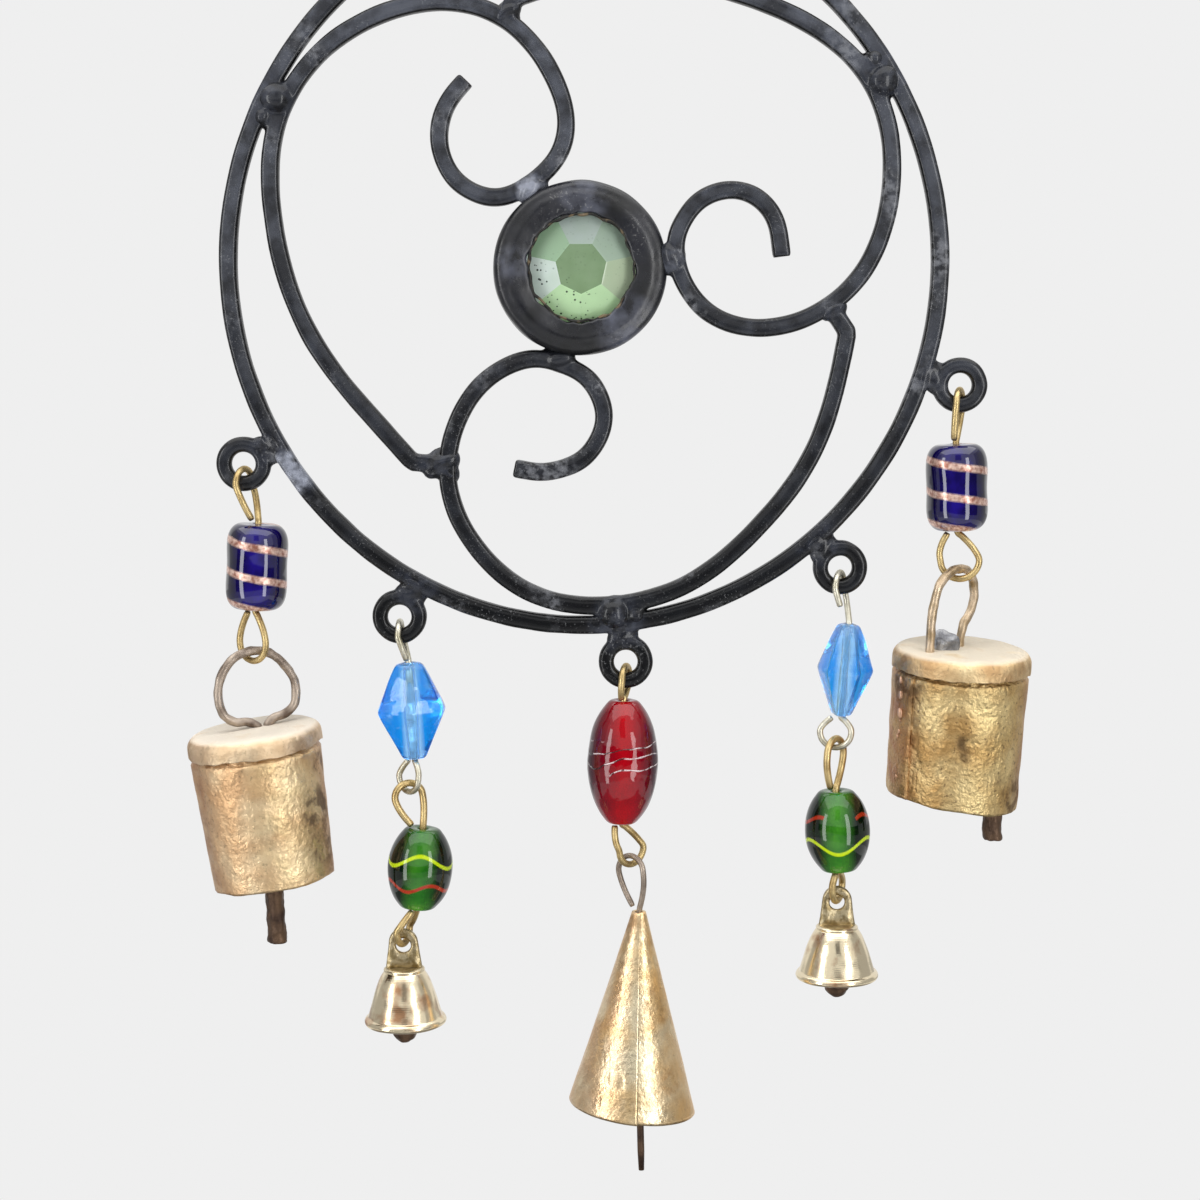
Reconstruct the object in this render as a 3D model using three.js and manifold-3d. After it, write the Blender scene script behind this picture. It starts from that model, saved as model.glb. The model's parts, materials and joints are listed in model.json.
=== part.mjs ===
// Iron wind chime: a ring of square iron bar holding three scrolls round a glass centre, and five hanging strands
// of glass beads and bells. Millimetres, +Z up, the front faces -Y. The origin is the centre of the hanging eye.
import * as THREE from 'three';
import { mergeVertices } from 'three/addons/utils/BufferGeometryUtils.js';
import Module from 'manifold-3d';

const wasm = await Module();
wasm.setup();

// Gap between separate pieces, and the wider one where one piece hangs and swings on another
const CLEAR = 0.3;
const HANG_GAP = 0.5;
// Free end of a bent wire stays this far from its own stem
const END_GAP = 0.5;

// Frame
const RING_HALF_WIDTH = 80;
const RING_HALF_HEIGHT = 81.5;
const BAR = 4;
const RING_SEGMENTS = 72;
const BEZEL_CENTRE = { x: -0.9, z: -0.6 };
const BEZEL_RADIUS = 19;
const BEZEL_DEPTH = 5.4;
const BEZEL_SHEET = 1.1;
const BEZEL_CROWN = 1.3;
const BEZEL_TURN = { x: -2, z: 5 };
const APERTURE_RADIUS = 11.7;
const GEM_SIDES = 7;
const GEM_RADIUS = 13.6;
const GEM_TABLE_RADIUS = 5.8;
const GEM_DEPTH = 3.4;

// Eyelets: thick washers welded outside the ring
const EYELET_SECTION = 1.85;
const EYELET_CORNER = EYELET_SECTION / Math.cos(Math.PI / 8);
const EYELET_MIDDLE_RADIUS = 4.35;
const EYELET_SEGMENTS = 20;
const EYELET_STAND_OFF = 0.5;
const EYELET_ANGLES = [-150, -118, -84, -49.5, -17.5];
const NECK = { across: 3.2, outwards: 2.5, deep: 1.9, shift: 1.2 };

// Weld beads: half sizes along the bar, across it and through the frame
const RING_WELD = { along: 3.4, across: 3.0, deep: 2.5 };
const BEZEL_WELD = { along: 3.0, across: 2.8, deep: 2.2 };
const END_WELD = { along: 3.2, across: 2.9, deep: 2.5 };

// Scrolls: each point is [angle round the bezel in degrees, share of the way from bezel to ring], tip first
const SCROLLS = {
  scroll_left: {
    points: [[121.4, 0.49], [129.2, 0.46], [137.9, 0.38], [144.8, 0.23], [140.9, 0.055], [120, 0], [100.1, 0.073],
      [95.1, 0.206], [99, 0.403], [106, 0.626], [112.8, 0.741], [118.6, 0.817], [129.2, 0.913], [140.1, 0.98],
      [149, 1], [156, 0.99], [166, 0.934], [182.3, 0.838], [198.1, 0.752], [213.2, 0.681], [228.9, 0.674]],
    bezelWeld: 122, ringWeld: 151.5, endWeld: 230.4, endsOn: 'scroll_lower',
  },
  scroll_right: {
    points: [[3.2, 0.431], [13.7, 0.424], [21.3, 0.38], [27, 0.297], [29.3, 0.161], [18.5, 0.02], [7, 0],
      [-3.9, 0.015], [-17.3, 0.121], [-20.2, 0.249], [-18.2, 0.382], [-14, 0.516], [-8.6, 0.631], [-2.4, 0.746],
      [5.8, 0.837], [14.8, 0.916], [23.4, 0.969], [32, 1], [37, 0.985], [43.9, 0.955], [54, 0.891], [67.9, 0.82],
      [81.9, 0.764], [94.8, 0.732], [103.5, 0.706]],
    bezelWeld: 6, ringWeld: 32, endWeld: 105.5, endsOn: 'scroll_left',
  },
  scroll_lower: {
    points: [[-108.4, 0.471], [-99.6, 0.453], [-88.5, 0.377], [-80.9, 0.225], [-85, 0.063], [-102, 0],
      [-119.6, 0.027], [-129.4, 0.163], [-130.6, 0.318], [-127.1, 0.492], [-120.7, 0.682], [-111.6, 0.824],
      [-102.7, 0.935], [-93.5, 0.99], [-84, 1], [-72, 0.985], [-58.7, 0.915], [-46.3, 0.859], [-39, 0.834],
      [-28.8, 0.783], [-20.1, 0.75], [-13.4, 0.735]],
    bezelWeld: -103, ringWeld: -84, endWeld: -11.6, endsOn: 'scroll_right',
  },
};
const SCROLL_STEPS_PER_SPAN = 3;

// Links: a wire bent into an eye at the top, run through a bead and bent into a second eye below.
// Heights go down from the pivot; shifts are to the right; a lean turns the stem's foot to the right.
const LINKS = {
  link_wire_1: {
    wire: 1.5, topRadius: 3.4, topYaw: 66, stemSide: 1.2, topHeight: 8.85, stemShift: 3, lean: -3,
    bead: 'cobalt', footRadius: 3.9, footYaw: -35, footHeight: 11.3, footShift: -0.7,
  },
  link_wire_5: {
    wire: 1.5, topRadius: 3.3, topYaw: 70, stemSide: 1.2, topHeight: 8.6, stemShift: -0.6, lean: 2,
    bead: 'cobalt', footRadius: 4.3, footYaw: -10, footHeight: 10.5, footShift: 0.6,
  },
  link_wire_3: {
    wire: 1.5, topRadius: 3.25, topYaw: 74, stemSide: 1.0, topHeight: 4.5, stemShift: -0.4, lean: -1,
    bead: 'red', footRadius: 3.6, footYaw: 40, footHeight: 9.4, footShift: 2.2,
  },
  upper_link_2: {
    wire: 1.4, topRadius: 3.15, topYaw: 82, stemSide: 0.8, topHeight: 6, stemShift: 1.9, lean: 3,
    bead: 'azure', footRadius: 3.3, footYaw: -45, footHeight: 7.2, footShift: -1.4,
  },
  upper_link_4: {
    wire: 1.4, topRadius: 3.3, topYaw: 68, stemSide: 1.2, topHeight: 8.2, stemShift: 2.2, lean: -4,
    bead: 'shortAzure', footRadius: 3.55, footYaw: -15, footHeight: 6.9, footShift: -1.2, beadTurn: 80,
  },
  lower_link_2: {
    wire: 1.6, topRadius: 3.25, topYaw: 20, stemSide: 2.2, topHeight: 8.4, stemShift: 3.1, lean: -4.5,
    bead: 'green', footRadius: 3.3, footYaw: 68, footHeight: 8.2, footShift: -3.2,
  },
  lower_link_4: {
    wire: 1.6, topRadius: 3.7, topYaw: 55, stemSide: 1.4, topHeight: 9.9, stemShift: 0.2, lean: 3,
    bead: 'green', footRadius: 3.4, footYaw: 65, footHeight: 6.8, footShift: -0.4,
  },
};

// Glass beads: half sizes at the middle, length, and the radius of each flat end
const BEADS = {
  cobalt: { halfWidth: 6.7, halfDepth: 6.7, length: 19.3, endRadius: 4.6, form: 'barrel' },
  azure: { halfWidth: 8, halfDepth: 6, length: 22, endRadius: 2.7, form: 'bicone' },
  shortAzure: { halfWidth: 8, halfDepth: 6, length: 21, endRadius: 2.7, form: 'bicone' },
  green: { halfWidth: 7.35, halfDepth: 7.35, length: 18.2, endRadius: 3.6, form: 'oval' },
  red: { halfWidth: 7.95, halfDepth: 7.95, length: 27.8, endRadius: 3, form: 'oval' },
};
const BEAD_SEGMENTS = 18;

// Cow bells: a sheet cap over a sheet shell, hung by a thick wire loop. Each loop point is
// [share of the half width, share of the height above the cap], from one leg over the top to the other.
// A tilt turns the mouth to the right and a nod turns it to the back.
const COW_BELLS = {
  1: {
    tilt: 7, nod: 2, axisShift: -2.25, capDrop: 15, capRadius: 15.1, capHeight: 4.8, shellTop: 14.8, shellMouth: 13.9,
    height: 35, rimSlant: -1.5, loopWire: 2, loopHalfWidth: 8.9, loopYaw: 20, legs: [-1.35, 1.35], hook: { x: 0, yaw: 20 },
    loop: [[-0.36, 0], [-0.66, 0.03], [-0.93, 0.16], [-1, 0.45], [-0.8, 0.77], [-0.42, 0.95], [0, 1], [0.42, 0.93],
      [0.78, 0.72], [0.98, 0.42], [0.9, 0.15], [0.64, 0.03], [0.36, 0]],
    clapper: { reach: 42.5, lean: 2, top: 4.2, tip: 5.4 },
  },
  5: {
    tilt: -2.5, nod: 4.5, axisShift: 1.9, capDrop: 15.5, capRadius: 15.5, capHeight: 4.8, shellTop: 15.1, shellMouth: 14.9,
    height: 34.6, rimSlant: 5.5, loopWire: 2, loopHalfWidth: 9.3, loopYaw: 45, legs: [-8.9, 1.9], hook: { x: 9.6, yaw: 180 },
    loop: [[-0.98, 0.2], [-0.97, 0.43], [-0.78, 0.8], [-0.38, 0.97], [0, 1], [0.34, 0.95], [0.6, 0.76],
      [0.64, 0.55], [0.52, 0.36], [0.3, 0.2]],
    clapper: { reach: 36.3, lean: 0.5, top: 4.6, tip: 5.6 },
  },
};
const SHEET = 0.9;
const CAP_DOME = 0.5;
const CAP_EDGE_RADIUS = 1.6;
const HOOK = { radius: 2.7, drop: 7.4 };
const CLAPPER_EYE = { hole: 2, wall: 1, thickness: 1.6 };
const SOLDER_LUMP = { across: 3.1, deep: 2.4, high: 3.2 };

// Cone bell: rolled sheet on a thin wire hanger that ends in an inner hook
const CONE = {
  tilt: -1.9, hangerWire: 1.3, hangerRadius: 3.6, hangerYaw: -40, stemSide: 1.3, apexDrop: 10.9, apexShift: 2.25,
  apexRadius: 1.85, mouthRadius: 14.7, height: 45.2, sheet: 0.75, rimSlant: 4.6, hookDepth: 15.5, hookRadius: 1.75,
  clapperWire: 1.6, clapperEye: 1.95, clapperReach: 43.5, clapperLean: 1.5,
};

// Small cast bells with a pierced tab, an inner ring and a pear clapper
const SMALL_BELLS = {
  2: { wire: 1.6, tabTop: 3.5, crownDrop: 5.7, height: 12.8, mouthRadius: 9.3, crownRadius: 4.6, tilt: 1 },
  4: { wire: 1.6, tabTop: 3.3, crownDrop: 5.9, height: 11.9, mouthRadius: 9.4, crownRadius: 4.7, tilt: 0.5 },
};
const CAST = {
  wall: 1.1, lip: 0.65, tabHalfWidth: 4.2, tabTopHalfWidth: 3, tabThickness: 1.4, tabHole: 1.85,
  ringRadius: 1.7, ringSection: 0.55,
};
const PEAR = { eyeRadius: 1.7, eyeSection: 0.5, neck: 0.9, radius: 3, belowRim: 4.6 };

// Materials
const painted = new THREE.MeshStandardMaterial({ color: 0x232428, roughness: 0.45, metalness: 0.6 });
const brassWire = new THREE.MeshStandardMaterial({ color: 0xc9a24a, roughness: 0.35, metalness: 1 });
const paleWire = new THREE.MeshStandardMaterial({ color: 0xb9b59a, roughness: 0.35, metalness: 1 });
const ironWire = new THREE.MeshStandardMaterial({ color: 0x8f7d6c, roughness: 0.55, metalness: 0.8 });
const coatedSheet = new THREE.MeshStandardMaterial({ color: 0xc2a063, roughness: 0.45, metalness: 0.9 });
const castBrass = new THREE.MeshStandardMaterial({ color: 0xd9c79a, roughness: 0.2, metalness: 1 });
const clapperIron = new THREE.MeshStandardMaterial({ color: 0x6b584a, roughness: 0.6, metalness: 0.7 });
const solder = new THREE.MeshStandardMaterial({ color: 0x77777c, roughness: 0.7, metalness: 0.6 });
const gemGlass = new THREE.MeshStandardMaterial({ color: 0x9cc48c, roughness: 0.1, metalness: 0 });
const beadGlass = {
  cobalt: new THREE.MeshStandardMaterial({ color: 0x1a0e8c, roughness: 0.1, metalness: 0 }),
  azure: new THREE.MeshStandardMaterial({ color: 0x1e8fe0, roughness: 0.1, metalness: 0 }),
  shortAzure: new THREE.MeshStandardMaterial({ color: 0x1e8fe0, roughness: 0.1, metalness: 0 }),
  green: new THREE.MeshStandardMaterial({ color: 0x146b1c, roughness: 0.1, metalness: 0 }),
  red: new THREE.MeshStandardMaterial({ color: 0xb0081c, roughness: 0.1, metalness: 0 }),
};

const RAD = Math.PI / 180;
const vec = (x, y, z) => new THREE.Vector3(x, y, z);
const across = (yaw) => vec(Math.cos(yaw * RAD), Math.sin(yaw * RAD), 0);

// Solids

// A three.js geometry as a solid, turned right side out
function toSolid(geometry) {
  const bare = geometry.clone();
  bare.deleteAttribute('normal');
  bare.deleteAttribute('uv');
  const merged = mergeVertices(bare, 1e-4);
  const index = merged.index.array;
  const triangles = [];
  for (let i = 0; i < index.length; i += 3) {
    const [a, b, c] = [index[i], index[i + 1], index[i + 2]];
    if (a !== b && b !== c && c !== a) triangles.push(a, b, c);
  }
  const vertProperties = new Float32Array(merged.attributes.position.array);
  const make = (triVerts) => new wasm.Manifold(new wasm.Mesh({ numProp: 3, vertProperties, triVerts }));
  const solid = make(new Uint32Array(triangles));
  return solid.volume() > 0 ? solid : make(new Uint32Array(triangles).reverse());
}

function toGeometry(solid) {
  const { vertProperties, triVerts } = solid.getMesh();
  const geometry = new THREE.BufferGeometry();
  geometry.setAttribute('position', new THREE.BufferAttribute(new Float32Array(vertProperties), 3));
  geometry.setIndex(new THREE.BufferAttribute(new Uint32Array(triVerts), 1));
  geometry.computeVertexNormals();
  return geometry;
}

const join = (first, ...others) => others.reduce((whole, piece) => whole.add(piece), first);
const cut = (first, ...others) => others.reduce((rest, piece) => rest.subtract(piece), first);

function addPiece(parent, name, material, solid) {
  const mesh = new THREE.Mesh(toGeometry(solid), material);
  mesh.name = name;
  parent.add(mesh);
  return mesh;
}

function addGroup(parent, place, turnAboutY = 0) {
  const group = new THREE.Group();
  group.position.copy(place);
  group.rotation.y = turnAboutY * RAD;
  parent.add(group);
  return group;
}

// A bent bar or wire's centre line. A tube along it has one ring at each of the given points.
class BentLine extends THREE.Curve {
  constructor(points) {
    super();
    this.points = points;
  }

  getPoint(t, target = new THREE.Vector3()) {
    const place = t * (this.points.length - 1);
    const start = Math.min(Math.floor(place), this.points.length - 2);
    return target.lerpVectors(this.points[start], this.points[start + 1], place - start);
  }

  getPointAt(u, target) {
    return this.getPoint(u, target);
  }

  getTangentAt(u, target = new THREE.Vector3()) {
    const at = Math.round(u * (this.points.length - 1));
    const here = this.points[at];
    const before = this.points[Math.max(at - 1, 0)];
    const after = this.points[Math.min(at + 1, this.points.length - 1)];
    target.subVectors(here, before).normalize();
    return target.add(vec(0, 0, 0).subVectors(after, here).normalize()).normalize();
  }
}

function sweep(points, section) {
  const path = { extrudePath: new BentLine(points), steps: points.length - 1, bevelEnabled: false, curveSegments: 1 };
  return toSolid(new THREE.ExtrudeGeometry(section, path));
}

const polygon = (radius, sides, start = 0) => new THREE.Shape(Array.from({ length: sides }, (unused, i) => {
  const angle = start + (i * 2 * Math.PI) / sides;
  return new THREE.Vector2(radius * Math.cos(angle), radius * Math.sin(angle));
}));

const WIRE_SIDES = 6;
const wireAlong = (points, diameter, growth = 0) => sweep(points, polygon(diameter / 2 + growth, WIRE_SIDES));
const barAlong = (points, side) => sweep(points, polygon(side / Math.SQRT2, 4, Math.PI / 4));

// Revolves [radius, height] points about Z. The profile starts and ends on the axis or closes on itself.
function turned(profile, segments, phase = 0) {
  const points = profile.map(([radius, height]) => new THREE.Vector2(radius, height));
  return new THREE.LatheGeometry(points, segments, phase).rotateX(Math.PI / 2);
}

function ellipsoid(place, half, yaw = 0) {
  const geometry = new THREE.SphereGeometry(1, 12, 8);
  geometry.scale(half.x, half.y, half.z).rotateY(-yaw * RAD).translate(place.x, place.y, place.z);
  return toSolid(geometry);
}

const closed = (profile) => [...profile, profile[0]];

// Frame geometry, in the ring's own frame

// Distance from an offset point to an oval about the origin, along an angle in degrees
function reachToOval(angle, halfWidth, halfHeight, from = { x: 0, z: 0 }) {
  const [dx, dz] = [Math.cos(angle * RAD), Math.sin(angle * RAD)];
  const a = (dx / halfWidth) ** 2 + (dz / halfHeight) ** 2;
  const b = 2 * ((from.x * dx) / halfWidth ** 2 + (from.z * dz) / halfHeight ** 2);
  const c = (from.x / halfWidth) ** 2 + (from.z / halfHeight) ** 2 - 1;
  return (-b + Math.sqrt(b * b - 4 * a * c)) / (2 * a);
}

const alongAngle = (angle, reach, from = { x: 0, z: 0 }) =>
  vec(from.x + reach * Math.cos(angle * RAD), 0, from.z + reach * Math.sin(angle * RAD));

// The oval ring, grown on every side by a clearance when it serves as a cutter
function ringSolid(growth = 0) {
  const outside = RING_HALF_WIDTH + growth;
  const inside = RING_HALF_WIDTH - BAR - growth;
  const half = BAR / 2 + growth;
  const profile = closed([[outside, -half], [outside, half], [inside, half], [inside, -half]]);
  const ring = turned(profile, RING_SEGMENTS).rotateX(Math.PI / 2);
  const place = ring.attributes.position;
  for (let i = 0; i < place.count; i += 1) {
    const reach = Math.hypot(place.getX(i), place.getZ(i));
    place.setZ(i, place.getZ(i) * (1 + (RING_HALF_HEIGHT - RING_HALF_WIDTH) / reach));
  }
  return toSolid(ring);
}

const nearBezel = BEZEL_RADIUS + CLEAR + BAR / 2;
const nearRing = (angle) => {
  const inset = BAR * 1.5 + CLEAR;
  return reachToOval(angle, RING_HALF_WIDTH - inset, RING_HALF_HEIGHT - inset, BEZEL_CENTRE);
};

function scrollPoints(points) {
  const bends = points.map(([angle, share]) =>
    alongAngle(angle, nearBezel + share * (nearRing(angle) - nearBezel), BEZEL_CENTRE));
  const curve = new THREE.CatmullRomCurve3(bends);
  return curve.getPoints((bends.length - 1) * SCROLL_STEPS_PER_SPAN);
}

function weldAt(angle, reach, from, size) {
  const half = { x: size.across, y: size.deep, z: size.along };
  return ellipsoid(alongAngle(angle, reach, from), half, angle);
}

function bezelDisc(growth = 0) {
  const [radius, half] = [BEZEL_RADIUS + growth, BEZEL_DEPTH / 2 + BEZEL_CROWN + growth];
  const disc = turned([[0, -half], [radius, -half], [radius, half], [0, half]], 48).rotateX(Math.PI / 2);
  return toSolid(disc.translate(BEZEL_CENTRE.x, 0, BEZEL_CENTRE.z));
}

function addFrame(parent) {
  addPiece(parent, 'outer_ring', painted, ringSolid());
  const lines = {};
  for (const [name, scroll] of Object.entries(SCROLLS)) lines[name] = scrollPoints(scroll.points);
  const ringCutter = ringSolid(CLEAR);
  const bezelCutter = bezelDisc(HANG_GAP);
  for (const [name, scroll] of Object.entries(SCROLLS)) {
    const end = lines[name][lines[name].length - 1];
    const seat = nearestPoint(end, lines[scroll.endsOn]);
    const welds = [
      weldAt(scroll.bezelWeld, nearBezel - BAR / 2, BEZEL_CENTRE, BEZEL_WELD),
      weldAt(scroll.ringWeld, nearRing(scroll.ringWeld) + BAR / 2, BEZEL_CENTRE, RING_WELD),
      ellipsoid(vec(0, 0, 0).lerpVectors(end, seat, 0.45), { x: END_WELD.along, y: END_WELD.deep, z: END_WELD.across }),
    ];
    const bar = join(barAlong([...lines[name], endTowards(lines[name], seat)], BAR), ...welds);
    const neighbour = barAlong(lines[scroll.endsOn], BAR + 2 * CLEAR);
    addPiece(parent, name, painted, cut(bar, ringCutter, bezelCutter, neighbour));
  }
  addCentre(parent);
  EYELET_ANGLES.forEach((angle, i) => addPiece(parent, `eyelet_${i + 1}`, painted, eyelet(angle, ringCutter)));
  addPiece(parent, 'hanging_eye', painted, eyelet(90, ringCutter));
}

const nearestPoint = (place, points) =>
  points.reduce((best, point) => (point.distanceTo(place) < best.distanceTo(place) ? point : best));

// The bar's end is carried on to the side of the scroll that it is welded to
function endTowards(points, seat) {
  const end = points[points.length - 1];
  const gap = end.distanceTo(seat) - BAR / 2 - CLEAR;
  return vec(0, 0, 0).lerpVectors(end, seat, Math.max(gap, 0.2) / end.distanceTo(seat));
}

function addCentre(parent) {
  const centre = addGroup(parent, vec(BEZEL_CENTRE.x, 0, BEZEL_CENTRE.z));
  centre.rotation.set((90 + BEZEL_TURN.x) * RAD, 0, BEZEL_TURN.z * RAD, 'ZXY');
  const back = -BEZEL_DEPTH / 2;
  const rim = BEZEL_DEPTH / 2;
  const crest = rim + BEZEL_CROWN;
  const lipRadius = (APERTURE_RADIUS + BEZEL_RADIUS) / 2;
  const cup = closed([[BEZEL_RADIUS, back], [BEZEL_RADIUS, rim - 0.8], [BEZEL_RADIUS - 0.8, rim + 0.1],
    [lipRadius, crest], [APERTURE_RADIUS, crest - 0.5], [APERTURE_RADIUS, crest - 0.5 - BEZEL_SHEET],
    [lipRadius, crest - BEZEL_SHEET], [BEZEL_RADIUS - BEZEL_SHEET, rim - BEZEL_SHEET],
    [BEZEL_RADIUS - BEZEL_SHEET, back]]);
  addPiece(centre, 'bezel_front', painted, toSolid(turned(cup, 40)));
  const ringOutside = BEZEL_RADIUS - BEZEL_SHEET - CLEAR;
  const washer = closed([[ringOutside, back], [ringOutside, back + BEZEL_SHEET],
    [APERTURE_RADIUS, back + BEZEL_SHEET], [APERTURE_RADIUS, back]]);
  addPiece(centre, 'bezel_back', painted, toSolid(turned(washer, 40)));
  const front = crest - 0.5 - BEZEL_SHEET - CLEAR;
  const girdle = front - GEM_DEPTH * 0.45;
  const rear = back + BEZEL_SHEET + CLEAR;
  const facets = [[0, front + 0.35], [GEM_TABLE_RADIUS, front + 0.35], [GEM_RADIUS, girdle], [GEM_RADIUS, rear],
    [0, rear]];
  addPiece(centre, 'centre_gem', gemGlass, toSolid(turned(facets, GEM_SIDES)));
}

const eyeletReach = EYELET_MIDDLE_RADIUS + EYELET_SECTION + EYELET_STAND_OFF;
const eyeletCentre = (angle) => alongAngle(angle, reachToOval(angle, RING_HALF_WIDTH, RING_HALF_HEIGHT) + eyeletReach);

function eyelet(angle, ringCutter) {
  const section = Array.from({ length: 8 }, (unused, i) => {
    const turn = ((i + 0.5) * Math.PI) / 4;
    return [EYELET_MIDDLE_RADIUS + EYELET_CORNER * Math.cos(turn), EYELET_CORNER * Math.sin(turn)];
  });
  const place = eyeletCentre(angle);
  const washer = toSolid(turned(closed(section), EYELET_SEGMENTS).rotateX(Math.PI / 2).translate(place.x, 0, place.z));
  const foot = reachToOval(angle, RING_HALF_WIDTH, RING_HALF_HEIGHT) + NECK.shift;
  const half = { x: NECK.outwards, y: NECK.deep, z: NECK.across };
  return cut(join(washer, ellipsoid(alongAngle(angle, foot), half, angle)), ringCutter);
}

// Wires

// One eye of a bent wire, from its stem to its free end: a leg, a half circle and a leg that stops short.
// side is 1 for an eye above its stem and -1 for one below it.
function eyePoints({ stem, centre, radius, yaw, side, stemSide, wire }) {
  const u = across(yaw);
  const free = stemSide - wire - END_GAP;
  const base = stem.clone().addScaledVector(u, -stemSide);
  const leg = (share, from, to) => base.clone().lerp(centre, share)
    .addScaledVector(u, from + (to - from) * Math.sin((share * Math.PI) / 2));
  const points = [0.14, 0.4, 0.7].map((share) => leg(share, stemSide, radius));
  for (let turn = 0; turn <= 180; turn += 30) {
    const [sideways, up] = [radius * Math.cos(turn * RAD), side * radius * Math.sin(turn * RAD)];
    points.push(centre.clone().addScaledVector(u, sideways).add(vec(0, 0, up)));
  }
  return [...points, ...[0.7, 0.4, 0.14].map((share) => leg(share, free, -radius))];
}

// Places of a link's stem ends and lower pivot, below its own pivot. hold is the radius of what it hangs on.
function linkPlaces(link, hold) {
  const length = BEADS[link.bead].length + 2 * CLEAR;
  const stemTop = vec(link.stemShift, 0, -link.topHeight + CLEAR);
  const run = vec(Math.sin(link.lean * RAD), 0, -Math.cos(link.lean * RAD)).multiplyScalar(length);
  const stemFoot = stemTop.clone().add(run);
  const crown = hold + HANG_GAP + link.wire / 2;
  const topCentre = vec(0, 0, crown - link.topRadius);
  const pivot = vec(stemFoot.x + link.footShift, 0, stemFoot.z - link.footHeight);
  const footCentre = pivot.clone().add(vec(0, 0, link.footRadius));
  return { stemTop, stemFoot, topCentre, footCentre, pivot };
}

function linkWire(link, places) {
  const { wire } = link;
  const top = eyePoints({ stem: places.stemTop, centre: places.topCentre, radius: link.topRadius,
    yaw: link.topYaw, side: 1, stemSide: link.stemSide, wire });
  const foot = eyePoints({ stem: places.stemFoot, centre: places.footCentre, radius: link.footRadius,
    yaw: link.footYaw, side: -1, stemSide: (wire + END_GAP) / 2, wire });
  return wireAlong([...top.reverse(), places.stemTop, places.stemFoot, ...foot], wire);
}

// Half of a bead's outline, [radius, height] from the lower end to the upper
function beadOutline({ halfWidth, length, endRadius, form }) {
  const half = length / 2;
  if (form === 'barrel') {
    const round = halfWidth - endRadius;
    return [[0, -half], [endRadius, -half], [halfWidth - 0.3 * round, -half + 0.3 * round],
      [halfWidth, -half + round], [halfWidth, half - round],
      [halfWidth - 0.3 * round, half - 0.3 * round], [endRadius, half], [0, half]];
  }
  if (form === 'bicone') {
    return [[0, -half], [endRadius * 0.6, -half], [endRadius * 1.15, -half * 0.93],
      [halfWidth * 0.93, -half * 0.13], [halfWidth, 0.02 * half], [halfWidth * 0.93, half * 0.16],
      [endRadius * 1.15, half * 0.93], [endRadius * 0.6, half], [0, half]];
  }
  const outline = [[0, -half]];
  const endTurn = Math.acos(endRadius / halfWidth);
  for (let i = 0; i <= 8; i += 1) {
    const turn = endTurn * (i / 4 - 1);
    outline.push([halfWidth * Math.cos(turn), (half * Math.sin(turn)) / Math.sin(endTurn)]);
  }
  return [...outline, [0, half]];
}

function addBead(parent, name, link, places) {
  const size = BEADS[link.bead];
  const middle = places.stemTop.clone().add(places.stemFoot).multiplyScalar(0.5);
  const group = addGroup(parent, middle, -link.lean);
  group.name = `${name}_spin`;
  const glass = turned(beadOutline(size), BEAD_SEGMENTS, Math.PI / BEAD_SEGMENTS);
  glass.scale(1, size.halfDepth / size.halfWidth, 1).rotateZ((link.beadTurn ?? 0) * RAD);
  const bore = new THREE.CylinderGeometry(1, 1, size.length + 2, 10).rotateX(Math.PI / 2);
  const boreRadius = link.wire / 2 + 1.5 * CLEAR;
  addPiece(group, name, beadGlass[link.bead], cut(toSolid(glass), toSolid(bore.scale(boreRadius, boreRadius, 1))));
}

// Adds a link with its bead and returns the group at its lower pivot
function addLink(parent, name, beadName, material, hold) {
  const link = LINKS[name];
  parent.name = `${name}_pivot`;
  const places = linkPlaces(link, hold);
  addPiece(parent, name, material, linkWire(link, places));
  addBead(parent, beadName, link, places);
  return addGroup(parent, places.pivot);
}

// Cow bells

// The loop over the cap, its legs through the cap and the hook below one of them
function bellLoopPoints(bell, top) {
  const u = across(bell.loopYaw);
  const rest = -bell.capDrop + bell.loopWire / 2 + HANG_GAP;
  const at = (sideways, z) => u.clone().multiplyScalar(sideways).add(vec(0, 0, z));
  const bends = bell.loop.map(([share, up]) => at(share * bell.loopHalfWidth, rest + up * (top - rest)));
  const over = new THREE.CatmullRomCurve3(bends).getPoints(bends.length * 2);
  const under = -bell.capDrop - SHEET;
  const [left, right] = bell.legs;
  const clench = [at(left, under - 1.6), at(left, -bell.capDrop + 0.2)];
  return [...clench, ...over, at(right, -bell.capDrop + 0.2), at(right, under - 0.9), ...hookPoints(bell, right, u)];
}

const hookCentre = (bell) => vec(bell.hook.x, 0, -bell.capDrop - HOOK.drop + HOOK.radius);

function hookPoints(bell, legAt, u) {
  const centre = hookCentre(bell);
  const v = across(bell.hook.yaw);
  const start = centre.clone().addScaledVector(v, HOOK.radius);
  const leg = u.clone().multiplyScalar(legAt).add(vec(0, 0, -bell.capDrop - SHEET - 1.8));
  const points = leg.distanceTo(start) > 2 * HOOK.radius ? [leg.clone().lerp(start, 0.2), leg.clone().lerp(start, 0.8)] : [];
  for (let turn = 0; turn >= -180; turn -= 30) {
    const arm = v.clone().multiplyScalar(HOOK.radius * Math.cos(turn * RAD));
    points.push(centre.clone().add(arm).add(vec(0, 0, HOOK.radius * Math.sin(turn * RAD))));
  }
  return points;
}

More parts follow.
